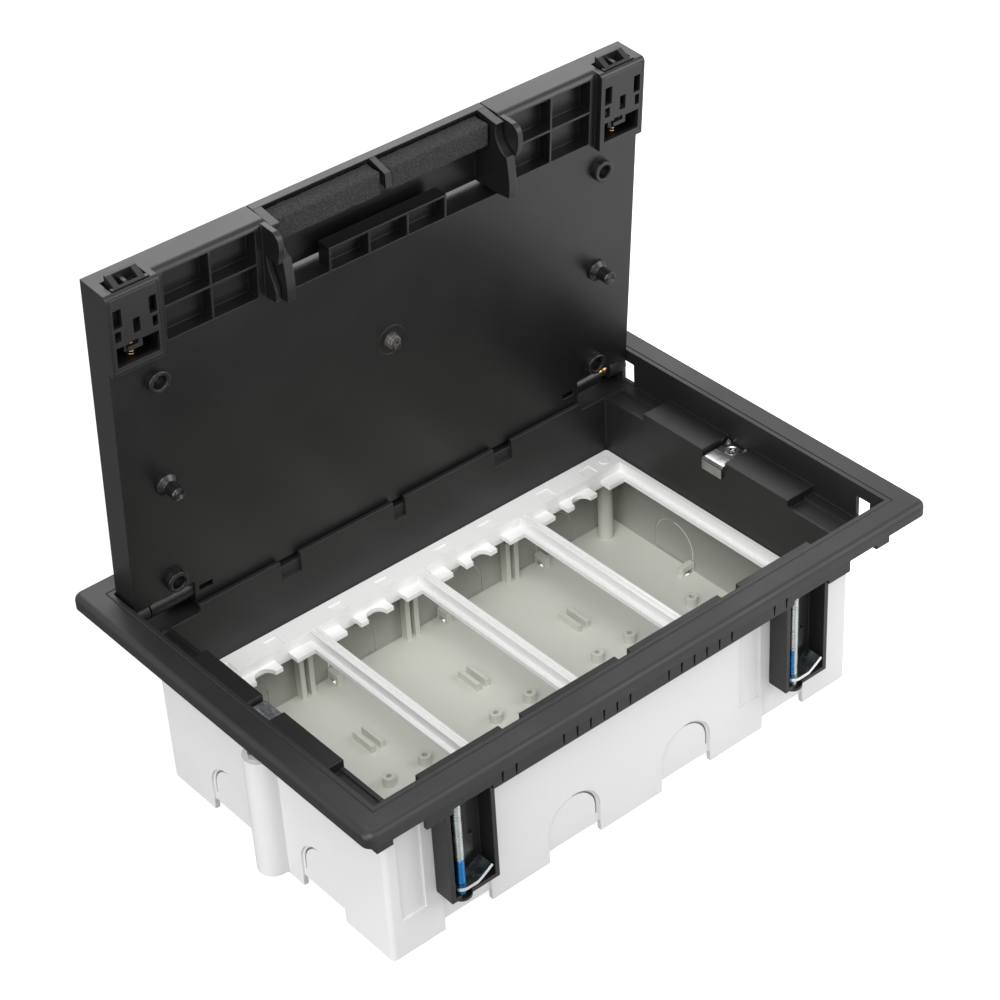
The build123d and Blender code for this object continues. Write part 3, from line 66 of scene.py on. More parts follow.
# %% Camera
camera_place = Vector((-0.4899, -0.6215, 0.6926))
camera_target = Vector((-0.04936, -0.06205, 0.16721))
camera_roll = math.radians(-3.41)
backward = (camera_place - camera_target).normalized()
level_right = Vector((0, 0, 1)).cross(backward).normalized()
level_up = backward.cross(level_right)
right = level_right * math.cos(camera_roll) + level_up * math.sin(camera_roll)
upward = level_up * math.cos(camera_roll) - level_right * math.sin(camera_roll)

camera_data = bpy.data.cameras.new("camera")
camera_data.sensor_width = 36
camera_data.lens = 96.26
camera_data.shift_x = 0.0002
camera_data.shift_y = 0.0006
camera = bpy.data.objects.new("camera", camera_data)
turn = Matrix((right, upward, backward)).transposed().to_4x4()
camera.matrix_world = Matrix.Translation(camera_place) @ turn
scene.collection.objects.link(camera)
scene.camera = camera
print("camera", tuple(round(v, 3) for v in camera.location))

# %% [markdown]
# Every material and every geometry tree is built from nodes. Short helpers keep that readable: one adds a
# node and feeds it numbers or the sockets of other nodes, another opens a group with named sockets, and the
# rest make the few kinds of node that come back in each material.

# %% Helpers for node trees
def put(tree, kind, feeds=None, **settings):
    """Add a node, set its settings, and feed its inputs with values or with the sockets of other nodes."""
    node = tree.nodes.new(kind)
    for key, value in settings.items():
        setattr(node, key, value)
    for key, value in (feeds or {}).items():
        if isinstance(value, bpy.types.NodeSocket):
            tree.links.new(value, node.inputs[key])
        else:
            node.inputs[key].default_value = value
    return node


def open_group(name, kind, wants, gives):
    """Start a node group with named inputs and outputs."""
    tree = bpy.data.node_groups.new(name, kind)
    for label, socket, value in wants:
        made = tree.interface.new_socket(name=label, in_out="INPUT", socket_type="NodeSocket" + socket)
        if value is not None:
            made.default_value = value
    for label, socket in gives:
        tree.interface.new_socket(name=label, in_out="OUTPUT", socket_type="NodeSocket" + socket)
    return tree, tree.nodes.new("NodeGroupInput").outputs, tree.nodes.new("NodeGroupOutput").inputs


def maths(tree, operation, *values, clamp=False):
    """A sum, product or comparison of values, given as a socket."""
    node = put(tree, "ShaderNodeMath", dict(enumerate(values)), operation=operation, use_clamp=clamp)
    return node.outputs[0]


def ramp(tree, value, start, stop, low=0.0, high=1.0):
    """A value taken from one range to another, given as a socket."""
    feeds = {"Value": value, "From Min": start, "From Max": stop, "To Min": low, "To Max": high}
    return put(tree, "ShaderNodeMapRange", feeds).outputs[0]


def blend(tree, share, first, second, **settings):
    """A mix of two colours, given as a socket."""
    feeds = {0: share, 6: first, 7: second}
    return put(tree, "ShaderNodeMix", feeds, data_type="RGBA", **settings).outputs[2]


def clouds(tree, here, scale, detail):
    """A soft noise, given as a socket."""
    return put(tree, "ShaderNodeTexNoise", {"Vector": here, "Scale": scale, "Detail": detail}).outputs["Fac"]


def own_place(tree, kind="Object"):
    """The object's own coordinates, or its own normal, given as a socket."""
    return put(tree, "ShaderNodeTexCoord").outputs[kind]


def grey(level, warmth=0.0):
    """A grey as the eye reads it, from 0 to 255, as a linear colour. Warmth takes some blue away."""
    value = ((level / 255 + 0.055) / 1.055) ** 2.4
    return (value, value * (1 - warmth / 3), value * (1 - warmth), 1.0)


# %% [markdown]
# Moulded plastic is never one flat grey. Its tone drifts a little over the hand's width, and the mould leaves
# a fine grain that breaks up the gloss. One group makes both, so each plastic sets only its own numbers.

# %% Group for moulded plastic
noise_span = (0.3, 0.7)
moulded_group, asks, gives = open_group(
    "moulded plastic",
    "ShaderNodeTree",
    [
        ("Light", "Color", (0.5, 0.5, 0.5, 1)),
        ("Dark", "Color", (0.4, 0.4, 0.4, 1)),
        ("Drift Scale", "Float", 30.0),
        ("Grain Scale", "Float", 2500.0),
        ("Gloss Low", "Float", 0.3),
        ("Gloss High", "Float", 0.45),
    ],
    [("Color", "Color"), ("Roughness", "Float"), ("Height", "Float")],
)
here = own_place(moulded_group)
drift = clouds(moulded_group, here, asks["Drift Scale"], 3.0)
grain = clouds(moulded_group, here, asks["Grain Scale"], 2.0)
tone = maths(moulded_group, "ADD", drift, grain)
tone = maths(moulded_group, "SUBTRACT", tone, 0.5, clamp=True)
colour = blend(moulded_group, tone, asks["Dark"], asks["Light"])
gloss = ramp(moulded_group, drift, *noise_span, asks["Gloss Low"], asks["Gloss High"])
moulded_group.links.new(colour, gives["Color"])
moulded_group.links.new(gloss, gives["Roughness"])
moulded_group.links.new(grain, gives["Height"])
print("group", moulded_group.name, len(moulded_group.nodes), "nodes")

# %% [markdown]
# No moulded or stamped edge is sharp. The CAD model has many small straight edges, so the roundness comes
# from the bevel node, which bends the normal near an edge. The same group marks the edge, where the
# plastics paint a highlight that makes the surface a little lighter.

# %% Group for rounded edges
edge_group, asks, gives = open_group(
    "rounded edges",
    "ShaderNodeTree",
    [("Radius", "Float", 0.0003), ("Width", "Float", 1.0)],
    [("Normal", "Vector"), ("Edge", "Float")],
)
rounded = put(edge_group, "ShaderNodeBevel", {"Radius": asks["Radius"]}, samples=6)
flat = put(edge_group, "ShaderNodeNewGeometry")
same = put(
    edge_group, "ShaderNodeVectorMath", {0: rounded.outputs["Normal"], 1: flat.outputs["True Normal"]},
    operation="DOT_PRODUCT",
)
away = maths(edge_group, "SUBTRACT", 1.0, same.outputs["Value"])
mask = maths(edge_group, "MULTIPLY", away, asks["Width"], clamp=True)
edge_group.links.new(rounded.outputs["Normal"], gives["Normal"])
edge_group.links.new(mask, gives["Edge"])

# %% Materials start the same way
def start_material(name, **shader_values):
    """A material with a Principled BSDF whose constant values sit on its own sockets."""
    material = bpy.data.materials.new(name)
    material.use_nodes = True
    tree = material.node_tree
    tree.nodes.clear()
    shader = put(tree, "ShaderNodeBsdfPrincipled")
    for key, value in shader_values.items():
        shader.inputs[key.replace("_", " ")].default_value = value
    put(tree, "ShaderNodeOutputMaterial", {"Surface": shader.outputs[0]})
    return material, tree, shader


def use_group(tree, group, **values):
    """Place a group in a material and set its inputs."""
    node = put(tree, "ShaderNodeGroup", node_tree=group)
    for key, value in values.items():
        node.inputs[key.replace("_", " ")].default_value = value
    return node


def base_of(material):
    """The tree, the shader and the colour socket of a material that is already made."""
    tree = material.node_tree
    shader = next(node for node in tree.nodes if node.type == "BSDF_PRINCIPLED")
    return tree, shader, shader.inputs["Base Color"].links[0].from_socket


def plastic(name, light, dark, gloss, edge_light, edge_radius=0.0003, drift=30.0, grain=2500.0, bump=0.00002,
            **shader_values):
    """A moulded plastic with a drifting tone, a grain and rounded edges with a painted highlight."""
    material, tree, shader = start_material(name, **shader_values)
    body = use_group(tree, moulded_group, Light=light, Dark=dark, Drift_Scale=drift, Grain_Scale=grain,
                     Gloss_Low=gloss[0], Gloss_High=gloss[1])
    edges = use_group(tree, edge_group, Radius=edge_radius, Width=2.5)
    # the edges get a painted highlight, lighter than the body
    lit = blend(tree, edges.outputs["Edge"], body.outputs["Color"], edge_light)
    relief = put(tree, "ShaderNodeBump", {"Height": body.outputs["Height"], "Normal": edges.outputs["Normal"],
                                          "Distance": bump, "Strength": 1.0})
    tree.links.new(lit, shader.inputs["Base Color"])
    tree.links.new(body.outputs["Roughness"], shader.inputs["Roughness"])
    tree.links.new(relief.outputs["Normal"], shader.inputs["Normal"])
    return material


# %% [markdown]
# The plastics share one recipe and differ in tone, gloss and painted edge highlight: the satin frame, the
# glossier lid, the latches with their covers, the claw retainers, the light grey housing and the white module
# frame. Two more are for the torn gate mark, mottled with painted highlight, and the polished pegs of the
# lid.

# %% Plastics
frame_plastic = plastic("frame plastic", grey(24), grey(17), (0.42, 0.54), grey(44), edge_radius=0.0005)
lid_plastic = plastic("lid plastic", grey(18), grey(12), (0.31, 0.39), grey(40), edge_radius=0.0004,
                      bump=0.00004)
# the gate mark's light, warm mottling is painted highlight
gate_plastic = plastic("gate plastic", grey(92, 0.15), grey(14), (0.1, 0.22), grey(110), drift=700.0,
                       bump=0.0001, edge_radius=0.0001)
peg_plastic = plastic("peg plastic", grey(24), grey(16), (0.2, 0.32), grey(60), edge_radius=0.0001)
cover_plastic = plastic("cover plastic", grey(27), grey(21), (0.36, 0.46), grey(66), edge_radius=0.0002)
latch_plastic = plastic("latch plastic", grey(26), grey(20), (0.36, 0.46), grey(48), edge_radius=0.0002)
retainer_plastic = plastic("retainer plastic", grey(18), grey(13), (0.35, 0.45), grey(36), edge_radius=0.0001)
box_plastic = plastic("box plastic", grey(219), grey(215), (0.4, 0.55), grey(252), bump=0.00001)
module_plastic = plastic("module plastic", grey(240, 0.01), grey(236, 0.015), (0.28, 0.4), grey(244),
                         edge_radius=0.0002, bump=0.00001)

# %% [markdown]
# The housing is white outside, and inside a painted shade makes it a warmer, darker grey. A place inside the
# four walls and above the floor is told from the object coordinates. The painted shade deepens with the
# height above the floor, and the walls get more of it than the rest.

# %% Painted shade inside the housing
inner_half = (0.1127, 0.0666)
inner_floor = 0.0056
wall_band = 0.0011
wall_shade = 0.6
shade_heights = (0.0015, 0.03)
shade_low = (0.98, 0.99, 0.9, 1)
shade_high = (0.46, 0.47, 0.42, 1)
tree, shader, outer_tone = base_of(box_plastic)
place = put(tree, "ShaderNodeSeparateXYZ", {0: own_place(tree)})
inside = maths(tree, "GREATER_THAN", place.outputs["Z"], inner_floor)
walls = 0.0
for axis, half in zip("XY", inner_half):
    out = maths(tree, "ABSOLUTE", place.outputs[axis])
    inside = maths(tree, "MULTIPLY", inside, maths(tree, "LESS_THAN", out, half))
    walls = maths(tree, "MAXIMUM", walls, maths(tree, "GREATER_THAN", out, half - wall_band))
# painted shade: the inside darkens with the height above the floor, and more on the walls
climb = ramp(tree, place.outputs["Z"], inner_floor + shade_heights[0], inner_floor + shade_heights[1])
wall_darkening = ramp(tree, walls, 0.0, 1.0, 1.0, wall_shade)
inner_shade = put(tree, "ShaderNodeVectorMath", {0: blend(tree, climb, shade_low, shade_high), "Scale": wall_darkening},
          operation="SCALE")
shade = blend(tree, 1.0, outer_tone, inner_shade.outputs[0], blend_type="MULTIPLY")
tree.links.new(blend(tree, inside, outer_tone, shade), shader.inputs["Base Color"])

# %% [markdown]
# Zinc plate, brass and spring steel are metals with fine streaks from rolling and drawing. One group gives
# the streaks and the cloudy tone of the plating.

# %% Group for plated metal
metal_group, asks, gives = open_group(
    "plated metal",
    "ShaderNodeTree",
    [
        ("Light", "Color", (0.8, 0.8, 0.8, 1)),
        ("Dark", "Color", (0.6, 0.6, 0.6, 1)),
        ("Cloud Scale", "Float", 300.0),
        ("Streak Stretch", "Vector", (300.0, 300.0, 6000.0)),
        ("Gloss Low", "Float", 0.15),
        ("Gloss High", "Float", 0.4),
    ],
    [("Color", "Color"), ("Roughness", "Float"), ("Height", "Float")],
)
here = own_place(metal_group)
cloud = clouds(metal_group, here, asks["Cloud Scale"], 4.0)
stretch = put(metal_group, "ShaderNodeVectorMath", {0: here, 1: asks["Streak Stretch"]}, operation="MULTIPLY")
streak = clouds(metal_group, stretch.outputs[0], 1.0, 2.0)
tone = ramp(metal_group, maths(metal_group, "ADD", cloud, streak), 0.7, 1.3)
colour = blend(metal_group, tone, asks["Dark"], asks["Light"])
gloss = ramp(metal_group, streak, *noise_span, asks["Gloss Low"], asks["Gloss High"])
metal_group.links.new(colour, gives["Color"])
metal_group.links.new(gloss, gives["Roughness"])
metal_group.links.new(streak, gives["Height"])


# %% Metals
def metal(name, light, dark, gloss, cloud=300.0, streaks=(300.0, 300.0, 6000.0), edge_radius=0.0001):
    """A plated metal with clouds, streaks and rounded edges."""
    material, tree, shader = start_material(name, Metallic=1.0)
    body = use_group(tree, metal_group, Light=light, Dark=dark, Cloud_Scale=cloud, Streak_Stretch=streaks,
                     Gloss_Low=gloss[0], Gloss_High=gloss[1])
    edges = use_group(tree, edge_group, Radius=edge_radius, Width=1.0)
    relief = put(tree, "ShaderNodeBump", {"Height": body.outputs["Height"], "Normal": edges.outputs["Normal"],
                                          "Distance": 0.000005, "Strength": 1.0})
    tree.links.new(body.outputs["Color"], shader.inputs["Base Color"])
    tree.links.new(body.outputs["Roughness"], shader.inputs["Roughness"])
    tree.links.new(relief.outputs["Normal"], shader.inputs["Normal"])
    return material


zinc = metal("zinc", grey(214), grey(190), (0.16, 0.34))
insert_steel = metal("insert steel", grey(172), grey(156), (0.32, 0.46), streaks=(6000.0, 200.0, 200.0))
brass = metal("brass", (0.62, 0.44, 0.2, 1), (0.5, 0.34, 0.14, 1), (0.2, 0.35))
spring_steel = metal("spring steel", (0.66, 0.5, 0.27, 1), (0.5, 0.37, 0.18, 1), (0.22, 0.35))
# zinc for the left clip, darker than the right clip's as painted shade
shaded_brushed_zinc = metal("shaded brushed zinc", (0.6, 0.68, 0.71, 1), grey(130), (0.36, 0.5), cloud=900.0,
                     streaks=(4000.0, 120.0, 4000.0))
rolled_zinc = metal("rolled zinc", grey(222), grey(168), (0.17, 0.3), cloud=200.0,
                    streaks=(5000.0, 100.0, 5000.0))
# blue-grey zinc for the claws, darkened as painted shade
shaded_claw_zinc = metal("claw zinc", (0.4, 0.48, 0.51, 1), (0.26, 0.32, 0.34, 1), (0.2, 0.3), cloud=120.0,
                  streaks=(400.0, 400.0, 400.0))

# %% [markdown]
# A claw is dark on its rolled faces, where its zinc is darkened as painted shade, and its cut edge gets a
# painted highlight. The cut edge is told by the object's own normal, which stays the same when the claw
# turns.

# %% Painted highlight on the cut edges of the claws
edge_facing = 0.7
tree, shader, rolled = base_of(shaded_claw_zinc)
facing = put(tree, "ShaderNodeSeparateXYZ", {0: own_place(tree, "Normal")})
flat_on = maths(tree, "ABSOLUTE", facing.outputs["Y"])
cut_edge_highlight = maths(tree, "GREATER_THAN", flat_on, edge_facing)
# the cut edge gets a painted highlight
tree.links.new(blend(tree, cut_edge_highlight, rolled, grey(245)), shader.inputs["Base Color"])

# %% [markdown]
# The lower part of each left claw screw is painted blue, so that the screw keeps its place. The paint ends in
# a ragged line, which a coarse noise gives. The front right screw is painted on its left flank only, and the
# back right one not at all.

# %% Blue paint on the claw screws
paint_span = (0.019, 0.037)
paint_ragged = 0.008
paint_aside = 0.0008
paint_blue = (0.03, 0.17, 0.42, 1)


def painted_zinc(name, flank):
    """Zinc with blue paint in a band of height, and only where X is below the flank."""
    material = metal(name, (0.47, 0.5, 0.49, 1), (0.34, 0.37, 0.37, 1), (0.24, 0.36), cloud=100.0,
                     streaks=(200.0, 200.0, 200.0))
    tree, shader, bare = base_of(material)
    here = own_place(tree)
    place = put(tree, "ShaderNodeSeparateXYZ", {0: here})
    height = maths(tree, "MULTIPLY_ADD", clouds(tree, here, 500.0, 1.0), -paint_ragged, place.outputs["Z"])
    above = maths(tree, "GREATER_THAN", height, paint_span[0] - paint_ragged / 2)
    below = maths(tree, "LESS_THAN", height, paint_span[1] - paint_ragged / 2)
    aside = maths(tree, "LESS_THAN", place.outputs["X"], flank)
    patch = maths(tree, "MULTIPLY", maths(tree, "MULTIPLY", above, below), aside)
    tree.links.new(blend(tree, patch, bare, paint_blue), shader.inputs["Base Color"])
    return material


def screw_centre(node_name):
    """The X and Y of an upright screw."""
    low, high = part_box(node_name)
    return (low[0] + high[0]) / 2, (low[1] + high[1]) / 2


right_flank = screw_centre("claw_screw_front_right")[0] - paint_aside
left_paint = painted_zinc("painted zinc left", 0.0)
right_paint = painted_zinc("painted zinc right", right_flank)
print("materials", len(bpy.data.materials))

# %% [markdown]
# Open-cell foam is a dark mass of tiny pores. Voronoi cells at pore size give the pits, and their depth
# darkens the colour as painted shade in the pits, which reads better than a smooth grey block.

# %% Foam
foam, tree, shader = start_material("foam", Roughness=0.95)
here = own_place(tree)
wobble = clouds(tree, here, 900.0, 3.0)
pores = put(tree, "ShaderNodeTexVoronoi", {"Vector": here, "Scale": 1500.0, "Randomness": 1.0})
pits = ramp(tree, pores.outputs["Distance"], 0.1, 0.6)
depth = maths(tree, "MULTIPLY", pits, wobble)
relief = put(tree, "ShaderNodeBump", {"Height": depth, "Distance": 0.0004, "Strength": 1.0})
# painted shade: the colour is darker deep in the pits
tree.links.new(blend(tree, depth, grey(12), grey(62)), shader.inputs["Base Color"])
tree.links.new(relief.outputs["Normal"], shader.inputs["Normal"])

# %% [markdown]
# Each CAD node keeps its mesh and gets the finish of its slot. The names of the record's slots lead to
# the materials, so no node can be forgotten.

# %% Dress the CAD nodes
finishes = {
    "frame_plastic": frame_plastic,
    "lid_plastic": lid_plastic,
    "latch_plastic": latch_plastic,
    "retainer_plastic": retainer_plastic,
    "box_plastic": box_plastic,
    "module_plastic": module_plastic,
    "zinc": zinc,
    "insert_steel": insert_steel,
    "brass": brass,
    "spring_steel": spring_steel,
    "foam": foam,
}
slot_of = {entry["node"]: entry["material_slot"] for entry in frame["record"]["subparts"]}
for name, node in nodes.items():
    node.data.materials.clear()
    covered = name.startswith("latch_cover")
    node.data.materials.append(cover_plastic if covered else finishes[slot_of[name]])
print("dressed", len(slot_of), "of", len(nodes))

# %% [markdown]
# The lid leans back, so its pieces are measured along it: across, up from the hinge, and inwards from the
# outer face. Two functions change between that and the frame of the box.

# %% Measures on the leaning lid
lid_lean = math.radians(4.8)
hinge_line = Vector((0, 0.0709, 0.0799))
hinge_depth = 0.0075
lid_up = Vector((0, -math.sin(lid_lean), math.cos(lid_lean)))
lid_in = Vector((0, -math.cos(lid_lean), -math.sin(lid_lean)))


def on_lid(across, up, depth):
    """The point of the frame at these lid measures."""
    return hinge_line + Vector((across, 0, 0)) + lid_up * up + lid_in * (depth - hinge_depth)


def lid_span(name):
    """Lowest and highest lid measures of a CAD node."""
    measures = [
        (v.co.x, (v.co - hinge_line).dot(lid_up), (v.co - hinge_line).dot(lid_in) + hinge_depth)
        for v in nodes[name].data.vertices
    ]
    return [min(m[k] for m in measures) for k in range(3)], [max(m[k] for m in measures) for k in range(3)]


# %% [markdown]
# A helix is what threads and springs share. A spiral curve swept with a profile makes it: four
# sides for a thread's ridge, many for a round wire. The tree is built once and run with its own numbers
# for each spring and screw.

# %% Geometry tree for a helix
helix_tree, asks, gives = open_group(
    "helix",
    "GeometryNodeTree",
    [
        ("Radius", "Float", 0.002),
        ("Wire", "Float", 0.0003),
        ("Wire Sides", "Int", 4),
        ("Turns", "Float", 10.0),
        ("Steps", "Int", 16),
        ("Length", "Float", 0.01),
        ("Turned", "Vector", (0, 0, 0)),
        ("Start", "Vector", (0, 0, 0)),
        ("Finish", "Material", None),
    ],
    [("Geometry", "Geometry")],
)
line = put(
    helix_tree,
    "GeometryNodeCurveSpiral",
    {"Resolution": asks["Steps"], "Rotations": asks["Turns"], "Start Radius": asks["Radius"],
     "End Radius": asks["Radius"], "Height": asks["Length"]},
)
upright = put(helix_tree, "GeometryNodeSetCurveNormal", {"Curve": line.outputs[0]})
upright.mode = "Z_UP"
ring = put(helix_tree, "GeometryNodeCurvePrimitiveCircle",
           {"Resolution": asks["Wire Sides"], "Radius": asks["Wire"]})
swept = put(
    helix_tree,
    "GeometryNodeCurveToMesh",
    {"Curve": upright.outputs[0], "Profile Curve": ring.outputs[0], "Fill Caps": True},
)
placed = put(
    helix_tree,
    "GeometryNodeTransform",
    {"Geometry": swept.outputs[0], "Translation": asks["Start"], "Rotation": asks["Turned"]},
)
real = put(helix_tree, "GeometryNodeRealizeInstances", {0: placed.outputs[0]})
dressed = put(helix_tree, "GeometryNodeSetMaterial", {0: real.outputs[0], "Material": asks["Finish"]})
helix_tree.links.new(dressed.outputs[0], gives["Geometry"])


def settle(piece):
    """Keep what the modifiers of a piece make as its plain mesh."""
    graph = bpy.context.evaluated_depsgraph_get()
    mesh = bpy.data.meshes.new_from_object(piece.evaluated_get(graph), depsgraph=graph)
    piece.modifiers.clear()
    piece.data = mesh


def grow(name, tree, **values):
    """Run a geometry tree and keep its result as the plain mesh of a new object."""
    piece = bpy.data.objects.new(name, bpy.data.meshes.new(name))
    scene.collection.objects.link(piece)
    modifier = piece.modifiers.new("grow", "NODES")
    modifier.node_group = tree
    for item in tree.interface.items_tree:
        if item.in_out == "INPUT" and item.name.replace(" ", "_") in values:
            modifier[item.identifier] = values[item.name.replace(" ", "_")]
    settle(piece)
    return piece


# %% [markdown]
# Each screw is a core with a ridge wound round it, and a head with a cross recess. The core and head are
# turned from one outline, which keeps them one closed skin, and the cross is cut by a boolean. The cross
# stands a little askew, so that its corners miss the edges of the head, where the cut would leave a gap.

# %% Turned cores and heads
def made_object(name, builder):
    """Turn a mesh under construction into an object of the scene."""
    mesh = bpy.data.meshes.new(name)
    builder.to_mesh(mesh)
    builder.free()
    piece = bpy.data.objects.new(name, mesh)
    scene.collection.objects.link(piece)
    return piece


def turned(name, outline, stand, sides=32):
    """A closed solid turned from (radius, height) points round the Z axis of a matrix."""
    builder = bmesh.new()
    angles = [2 * math.pi * k / sides for k in range(sides)]
    rings = []
    for radius, height in outline:
        if radius == 0:
            points = [(0, 0, height)]
        else:
            points = [(radius * math.cos(a), radius * math.sin(a), height) for a in angles]
        rings.append([builder.verts.new(stand @ Vector(point)) for point in points])
    pairs = list(zip(rings, rings[1:]))
    if outline[0][0] > 0:
        pairs.append((rings[-1], rings[0]))
    for low, high in pairs:
        for k in range(sides):
            n = k + 1
            loop = [low[k % len(low)], low[n % len(low)], high[n % len(high)], high[k % len(high)]]
            builder.faces.new(list(dict.fromkeys(loop)))
    bmesh.ops.recalc_face_normals(builder, faces=builder.faces)
    return made_object(name, builder)


def carve(piece, cutter, operation="DIFFERENCE"):
    """Cut one solid with another and remove the cutter."""
    modifier = piece.modifiers.new("carve", "BOOLEAN")
    modifier.operation = operation
    modifier.object = cutter
    settle(piece)
    bpy.data.objects.remove(cutter)


def finished(piece, body, finish, stands_for=None):
    """Give a piece its finish and the body it rides on, and take the place of a CAD node."""
    piece.data.materials.clear()
    piece.data.materials.append(finish)
    if stands_for:
        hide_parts(stands_for)
    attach(piece, body)
    return piece


def pushed(name, outline, low, high, axis="Y"):
    """A prism from an outline of (across, up) points, pushed along Y or, drawn in plan, along Z."""
    builder = bmesh.new()
    rings = []
    for end in (low, high):
        ring = [Vector((a, end, b)) if axis == "Y" else Vector((a, b, end)) for a, b in outline]
        rings.append([builder.verts.new(point) for point in ring])
    for k in range(len(outline)):
        n = (k + 1) % len(outline)
        builder.faces.new((rings[0][k], rings[0][n], rings[1][n], rings[1][k]))
    builder.faces.new(rings[0])
    builder.faces.new(rings[1])
    bmesh.ops.recalc_face_normals(builder, faces=builder.faces)
    return made_object(name, builder)


cross_half = (0.00165, 0.00036)
cross_turn = Matrix.Rotation(math.radians(20), 2)


def cut_cross(piece, centre, top, depth):
    """Cut a cross recess into the top of a screw head."""
    far, near = cross_half
    arm = [cross_turn @ Vector(point) for point in ((far, -near), (far, near), (near, near))]
    plan = []
    for _ in range(4):
        plan += [(centre.x + x, centre.y + y) for x, y in arm]
        arm = [(-y, x) for x, y in arm]
    carve(piece, pushed("cross", plan, top - depth, top + depth, axis="Z"))


def join(name, pieces):
    """Merge meshes into one plain object."""
    builder = bmesh.new()
    for piece in pieces:
        builder.from_mesh(piece.data)
        bpy.data.objects.remove(piece)
    return made_object(name, builder)


# %% Screws with real threads
thread_depth = 0.00024
thread_pitch = 0.0007
thread_start = 0.0006
thread_short = 0.001
core_gap = 0.0001
shank_radius = 0.002
tip_share = 0.8
tip_height = 0.0004
pan_height = 0.0025
pan_head = ((3.2, 0), (3.2, 0.9), (2.98, 1.7), (2.4, 2.25), (1.6, 2.5), (0, 2.5))
sunk_height = 0.0012
sunk_head = ((2.0, 0), (2.6, 0.68), (2.4, 0.9), (0, 0.9))


def threaded_screw(node_name, body, head, head_height, finish):
    """Replace a CAD screw by one with a wound thread and a turned head."""
    low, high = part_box(node_name)
    centre = Vector((*screw_centre(node_name), 0))
    seat = high[2] - head_height
    core = shank_radius - thread_depth
    outline = [(0, low[2]), (core * tip_share, low[2]), (core, low[2] + tip_height), (core, seat)]
    outline += [(radius * MM, seat + height * MM) for radius, height in head]
    turned_piece = turned(node_name + "_core", outline, Matrix.Translation(centre))
    cut_cross(turned_piece, centre, outline[-1][1], head_height / 2)
    length = seat - low[2] - thread_short
    thread = grow(node_name + "_thread", helix_tree, Radius=core - core_gap, Wire=thread_depth + core_gap,
                  Wire_Sides=4, Turns=length / thread_pitch, Steps=18, Length=length,
                  Start=(centre.x, centre.y, low[2] + thread_start), Finish=finish)
    screw = join(node_name + "_threaded", [turned_piece, thread])
    print(screw.name, len(screw.data.polygons), "faces")
    return finished(screw, body, finish, node_name)


claw_places = ("front_left", "front_right", "back_left", "back_right")
for place in claw_places:
    threaded_screw("claw_screw_" + place, "claw_screw_" + place, pan_head, pan_height,
                   left_paint if place.endswith("left") else right_paint)
for place in ("left", "right"):
    threaded_screw("level_screw_" + place, "frame", sunk_head, sunk_height, zinc)

# %% [markdown]
# The clip on each short side is a strip of sheet, bent over the edge of the shelf. The bend is what catches
# the light, so its outline is drawn with an arc and pushed through the width of the strip. The screw sits in
# a dished hole, and the two far corners are turned up.

# %% Bent clips
clip_sheet = 0.0012
clip_bend = 0.0018
clip_rise = 0.0057
clip_slack = 0.0001
bend_steps = 8
ear_size = (0.0009, 0.0014, 0.0013)
ear_root = 0.0002
hole_radius = 0.00205
dished_hole = ((0, -0.003), (hole_radius, -0.003), (hole_radius, -0.0012), (0.003, 0), (0.0032, 0.0002),
               (0, 0.0002))


def bent_clip(side, place, finish):
    """Replace the CAD clip of one side by a strip with a rolled bend and a dished hole."""
    node_name = "level_clip_" + place
    low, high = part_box(node_name)
    inner, outer = sorted((abs(low[0]), abs(high[0])))
    top = low[2] + clip_rise
    sheet_back = inner + clip_sheet - clip_slack
    outline = [(sheet_back, low[2]), (inner, low[2])]
    for k in range(bend_steps + 1):
        angle = math.pi / 2 * k / bend_steps
        outline.append((inner + clip_bend - clip_bend * math.cos(angle),
                        top - clip_bend + clip_bend * math.sin(angle)))
    outline += [(outer, top), (outer, top - clip_sheet), (sheet_back, top - clip_sheet)]
    strip = pushed(node_name + "_bent", [(side * x, z) for x, z in outline], low[1], high[1])
    stand = Matrix.Translation((screw_centre("level_screw_" + place)[0], 0, top))
    carve(strip, turned("cutter", dished_hole, stand))
    pieces = [strip]
    for end in (low[1], high[1]):
        inward = -1 if end > 0 else 1
        corners = ((outer, top - ear_root), (outer - ear_size[0] * 2, top - ear_root),
                   (outer - ear_size[0] / 2, top + ear_size[2]))
        pieces.append(pushed("ear", [(side * x, z) for x, z in corners], end, end + inward * ear_size[1]))
    return finished(join(node_name + "_sheet", pieces), "frame", finish, node_name)


# the left clip's zinc is darkened as painted shade
bent_clip(-1, "left", shaded_brushed_zinc)
bent_clip(1, "right", rolled_zinc)

# %% [markdown]
# Each claw is stamped from sheet and curled upwards. The CAD claw has the right size and place, so the curl
# is drawn through its outline: a straight run, then a smooth rise to the tip. Its plan is a strip with a
# round end.

# %% Curled claws
curl_start = 0.0044
curl_sheet = 0.0014
curl_share = 0.9
curl_steps = 14
curl_power = 1.25
tip_inset = 0.0006
claw_round = 0.0042
claw_sides = (0.0042, 0.003)
round_steps = 16
plan_reach = 1.1


